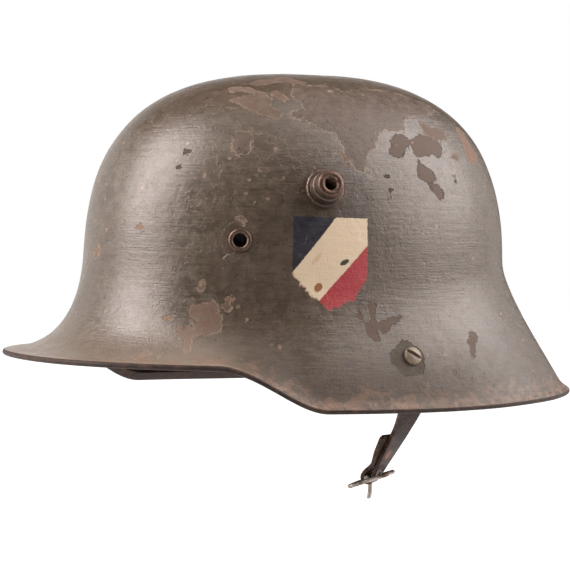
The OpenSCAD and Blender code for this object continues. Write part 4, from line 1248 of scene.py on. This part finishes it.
stations = []
for x in np.linspace(RETURN_LENGTH, 0.5, 12):
    s = x / STRAP_LENGTH
    away = laid_back(TOP_LOOP, x / RETURN_LENGTH)
    stations.append((strap_at(s) + facing(s) * away, across(s), HALF_WIDTH, 0.0))
for b in np.linspace(180, 15, 12):
    n = facing(0) * math.cos(math.radians(b)) + along(0) * math.sin(math.radians(b))
    stations.append((RING_BAR - n * TOP_LOOP, across(0), HALF_WIDTH, 0.0))
for s in np.linspace(0, 0.97, 34):
    pinch = 0.9 * math.sin(math.pi * min(1, s * 1.25)) ** 2
    stations.append((strap_at(s), across(s), HALF_WIDTH - pinch, pinch))
for b in np.linspace(0, 180, 14):
    n = facing(1) * math.cos(math.radians(b)) - along(1) * math.sin(math.radians(b))
    stations.append((BUCKLE_BAR - n * END_LOOP, across(1), HALF_WIDTH, 0.0))
for x in np.linspace(0.8, TAIL_LENGTH, 28):
    s = 1 - x / STRAP_LENGTH
    away = laid_back(END_LOOP, x / 9)
    corner = max(0.0, 1 - (TAIL_LENGTH - x) / 2.5)
    slip = -3.0 * float(smooth((x - 4) / 12))
    half = HALF_WIDTH * (1 - 0.22 * corner ** 2)
    stations.append((strap_at(s) + facing(s) * away, across(s), half, slip))

EDGES = np.array([-1, -0.93, -0.78, -0.52, -0.28, 0, 0.28, 0.52, 0.78, 0.93, 1])
bpy.ops.object.select_all(action="DESELECT")
bpy.ops.mesh.primitive_grid_add(x_subdivisions=len(EDGES) - 1, y_subdivisions=len(stations) - 1, size=1)
strap = bpy.context.object
strap.name = "folded_chin_strap"
flat = vertex_places(strap)
column = np.rint((flat[:, 0] + 0.5) * (len(EDGES) - 1)).astype(int)
row = np.rint((flat[:, 1] + 0.5) * (len(stations) - 1)).astype(int)
places = np.array([stations[r][0] + stations[r][1] * (EDGES[c] * stations[r][2] + stations[r][3])
    for r, c in zip(row, column)])
set_places(strap, places / 1000)
bpy.ops.object.mode_set(mode="EDIT")
bpy.ops.mesh.select_mode(type="FACE")
bpy.ops.mesh.select_all(action="DESELECT")
bpy.ops.object.mode_set(mode="OBJECT")
up = -along(1)
for face in strap.data.polygons:
    middle_of_face = np.array(face.center) * 1000 - BUCKLE_BAR
    in_slot = abs(middle_of_face @ across(1)) < 1.9 and middle_of_face @ up < 4.4
    face.select = bool(in_slot and np.linalg.norm(middle_of_face) < 6)
bpy.ops.object.mode_set(mode="EDIT")
bpy.ops.mesh.delete(type="FACE")
bpy.ops.mesh.select_mode(type="VERT")
bpy.ops.object.mode_set(mode="OBJECT")
apply_modifier(strap, "leather", "SOLIDIFY", thickness=STRAP_THICK / 1000, offset=0)
soften(strap, 0.4, 60, 50)
mark_edges(strap)

strap_leather, tree, shader = new_material("strap leather", (0.045, 0.028, 0.022), 0.5)
shader.inputs["Specular IOR Level"].default_value = 0.16
shader.inputs["Specular Tint"].default_value = (1, 0.86, 0.80, 1)
at = millimetres()
grained = use_group(hide, Place=at, Scale=1.1)
clouds = grain(at, 0.10, 5, 0.65)
tone = mix(step(clouds, 0.35, 0.68), (0.016, 0.009, 0.007), (0.046, 0.026, 0.020))
rub = times_plus(stored("worn"), 0.5, grain(at, 0.35, 4, 0.65))
tone = mix(step(rub, 0.75, 1.05, 0, 0.6), tone, (0.110, 0.058, 0.040))
scuff = add_node("ShaderNodeVectorMath", {0: at, 1: (4.6, -92.2, -23.6)}, operation="DISTANCE")
scuffed = step(times_plus(clouds, 4.0, scuff.outputs["Value"]), 5.6, 4.0)
tone = mix(times(scuffed, 0.75), tone, (0.21, 0.075, 0.040))
tone = mix(times(grained["Creases"], 0.6), tone, (0.012, 0.008, 0.006))
feed(shader, "Base Color", tone)
high = times_plus(grained["Grain"], 0.10, times(grained["Creases"], -0.14))
set_relief(shader, high)
strap.data.materials.append(strap_leather)
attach(strap, "left_strap")
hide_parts("chin_strap")

# Buckle frame: stout steel wire, bent into a four-sided loop with rounded corners and joined to a
# bar across it. The strap's fold holds it by the bar.
buckle_steel, tree, shader = new_material("buckle steel", (0.13, 0.10, 0.085), 0.42, 0.75)
at = millimetres()
rust = use_group(rusting, Place=at, Scale=0.16, Spread=0.62)
tone = mix(grain(at, 0.7, 4, 0.7), (0.15, 0.125, 0.105), (0.40, 0.35, 0.31))
tone = mix(rust["Mask"], tone, (0.095, 0.048, 0.032))
feed(shader, "Base Color", tone)
feed(shader, "Roughness", times_plus(rust["Mask"], 0.22, 0.38))
set_relief(shader, times(rust["Height"], 0.12))
refinish(buckle_steel, "buckle_frame")

# Prong: a short steel tongue, bent round the buckle's bar into an eye. It turns there, in the slot
# in the strap's fold.
prong = turned("forged_prong", [(0.0005, -11.8), (0.6, -11.75), (1.0, -11.45), (1.15, -10.9), (1.15, -9.8),
    (1.13, -8.5), (1.1, -7), (1.1, -5), (1.15, -3.2), (1.15, -2.1), (0.0005, -2.1)], 24)
hung = vertex_places(prong)
hung[:, 1] += 0.045 * np.clip(-hung[:, 2] * 1000 - 7.5, 0, None) ** 2 / 1000
set_places(prong, hung)
eye = turned("eye", [(1.5, -1.25), (2.3, -1.25), (2.55, -1.0), (2.55, 1.0), (2.3, 1.25), (1.5, 1.25)], 40)
eye.data.transform(Matrix.Rotation(math.radians(90), 4, "Y"))
join((prong, eye), "forged_prong")
prong.data.transform(Matrix.Translation(Vector(BUCKLE_BAR) / 1000)
    @ Matrix.Rotation(math.radians(TOP_TURN + TWIST), 4, "Z"))
soften(prong, 0)
prong.data.materials.append(buckle_steel)
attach(prong, "prong")
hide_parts("buckle_prong")
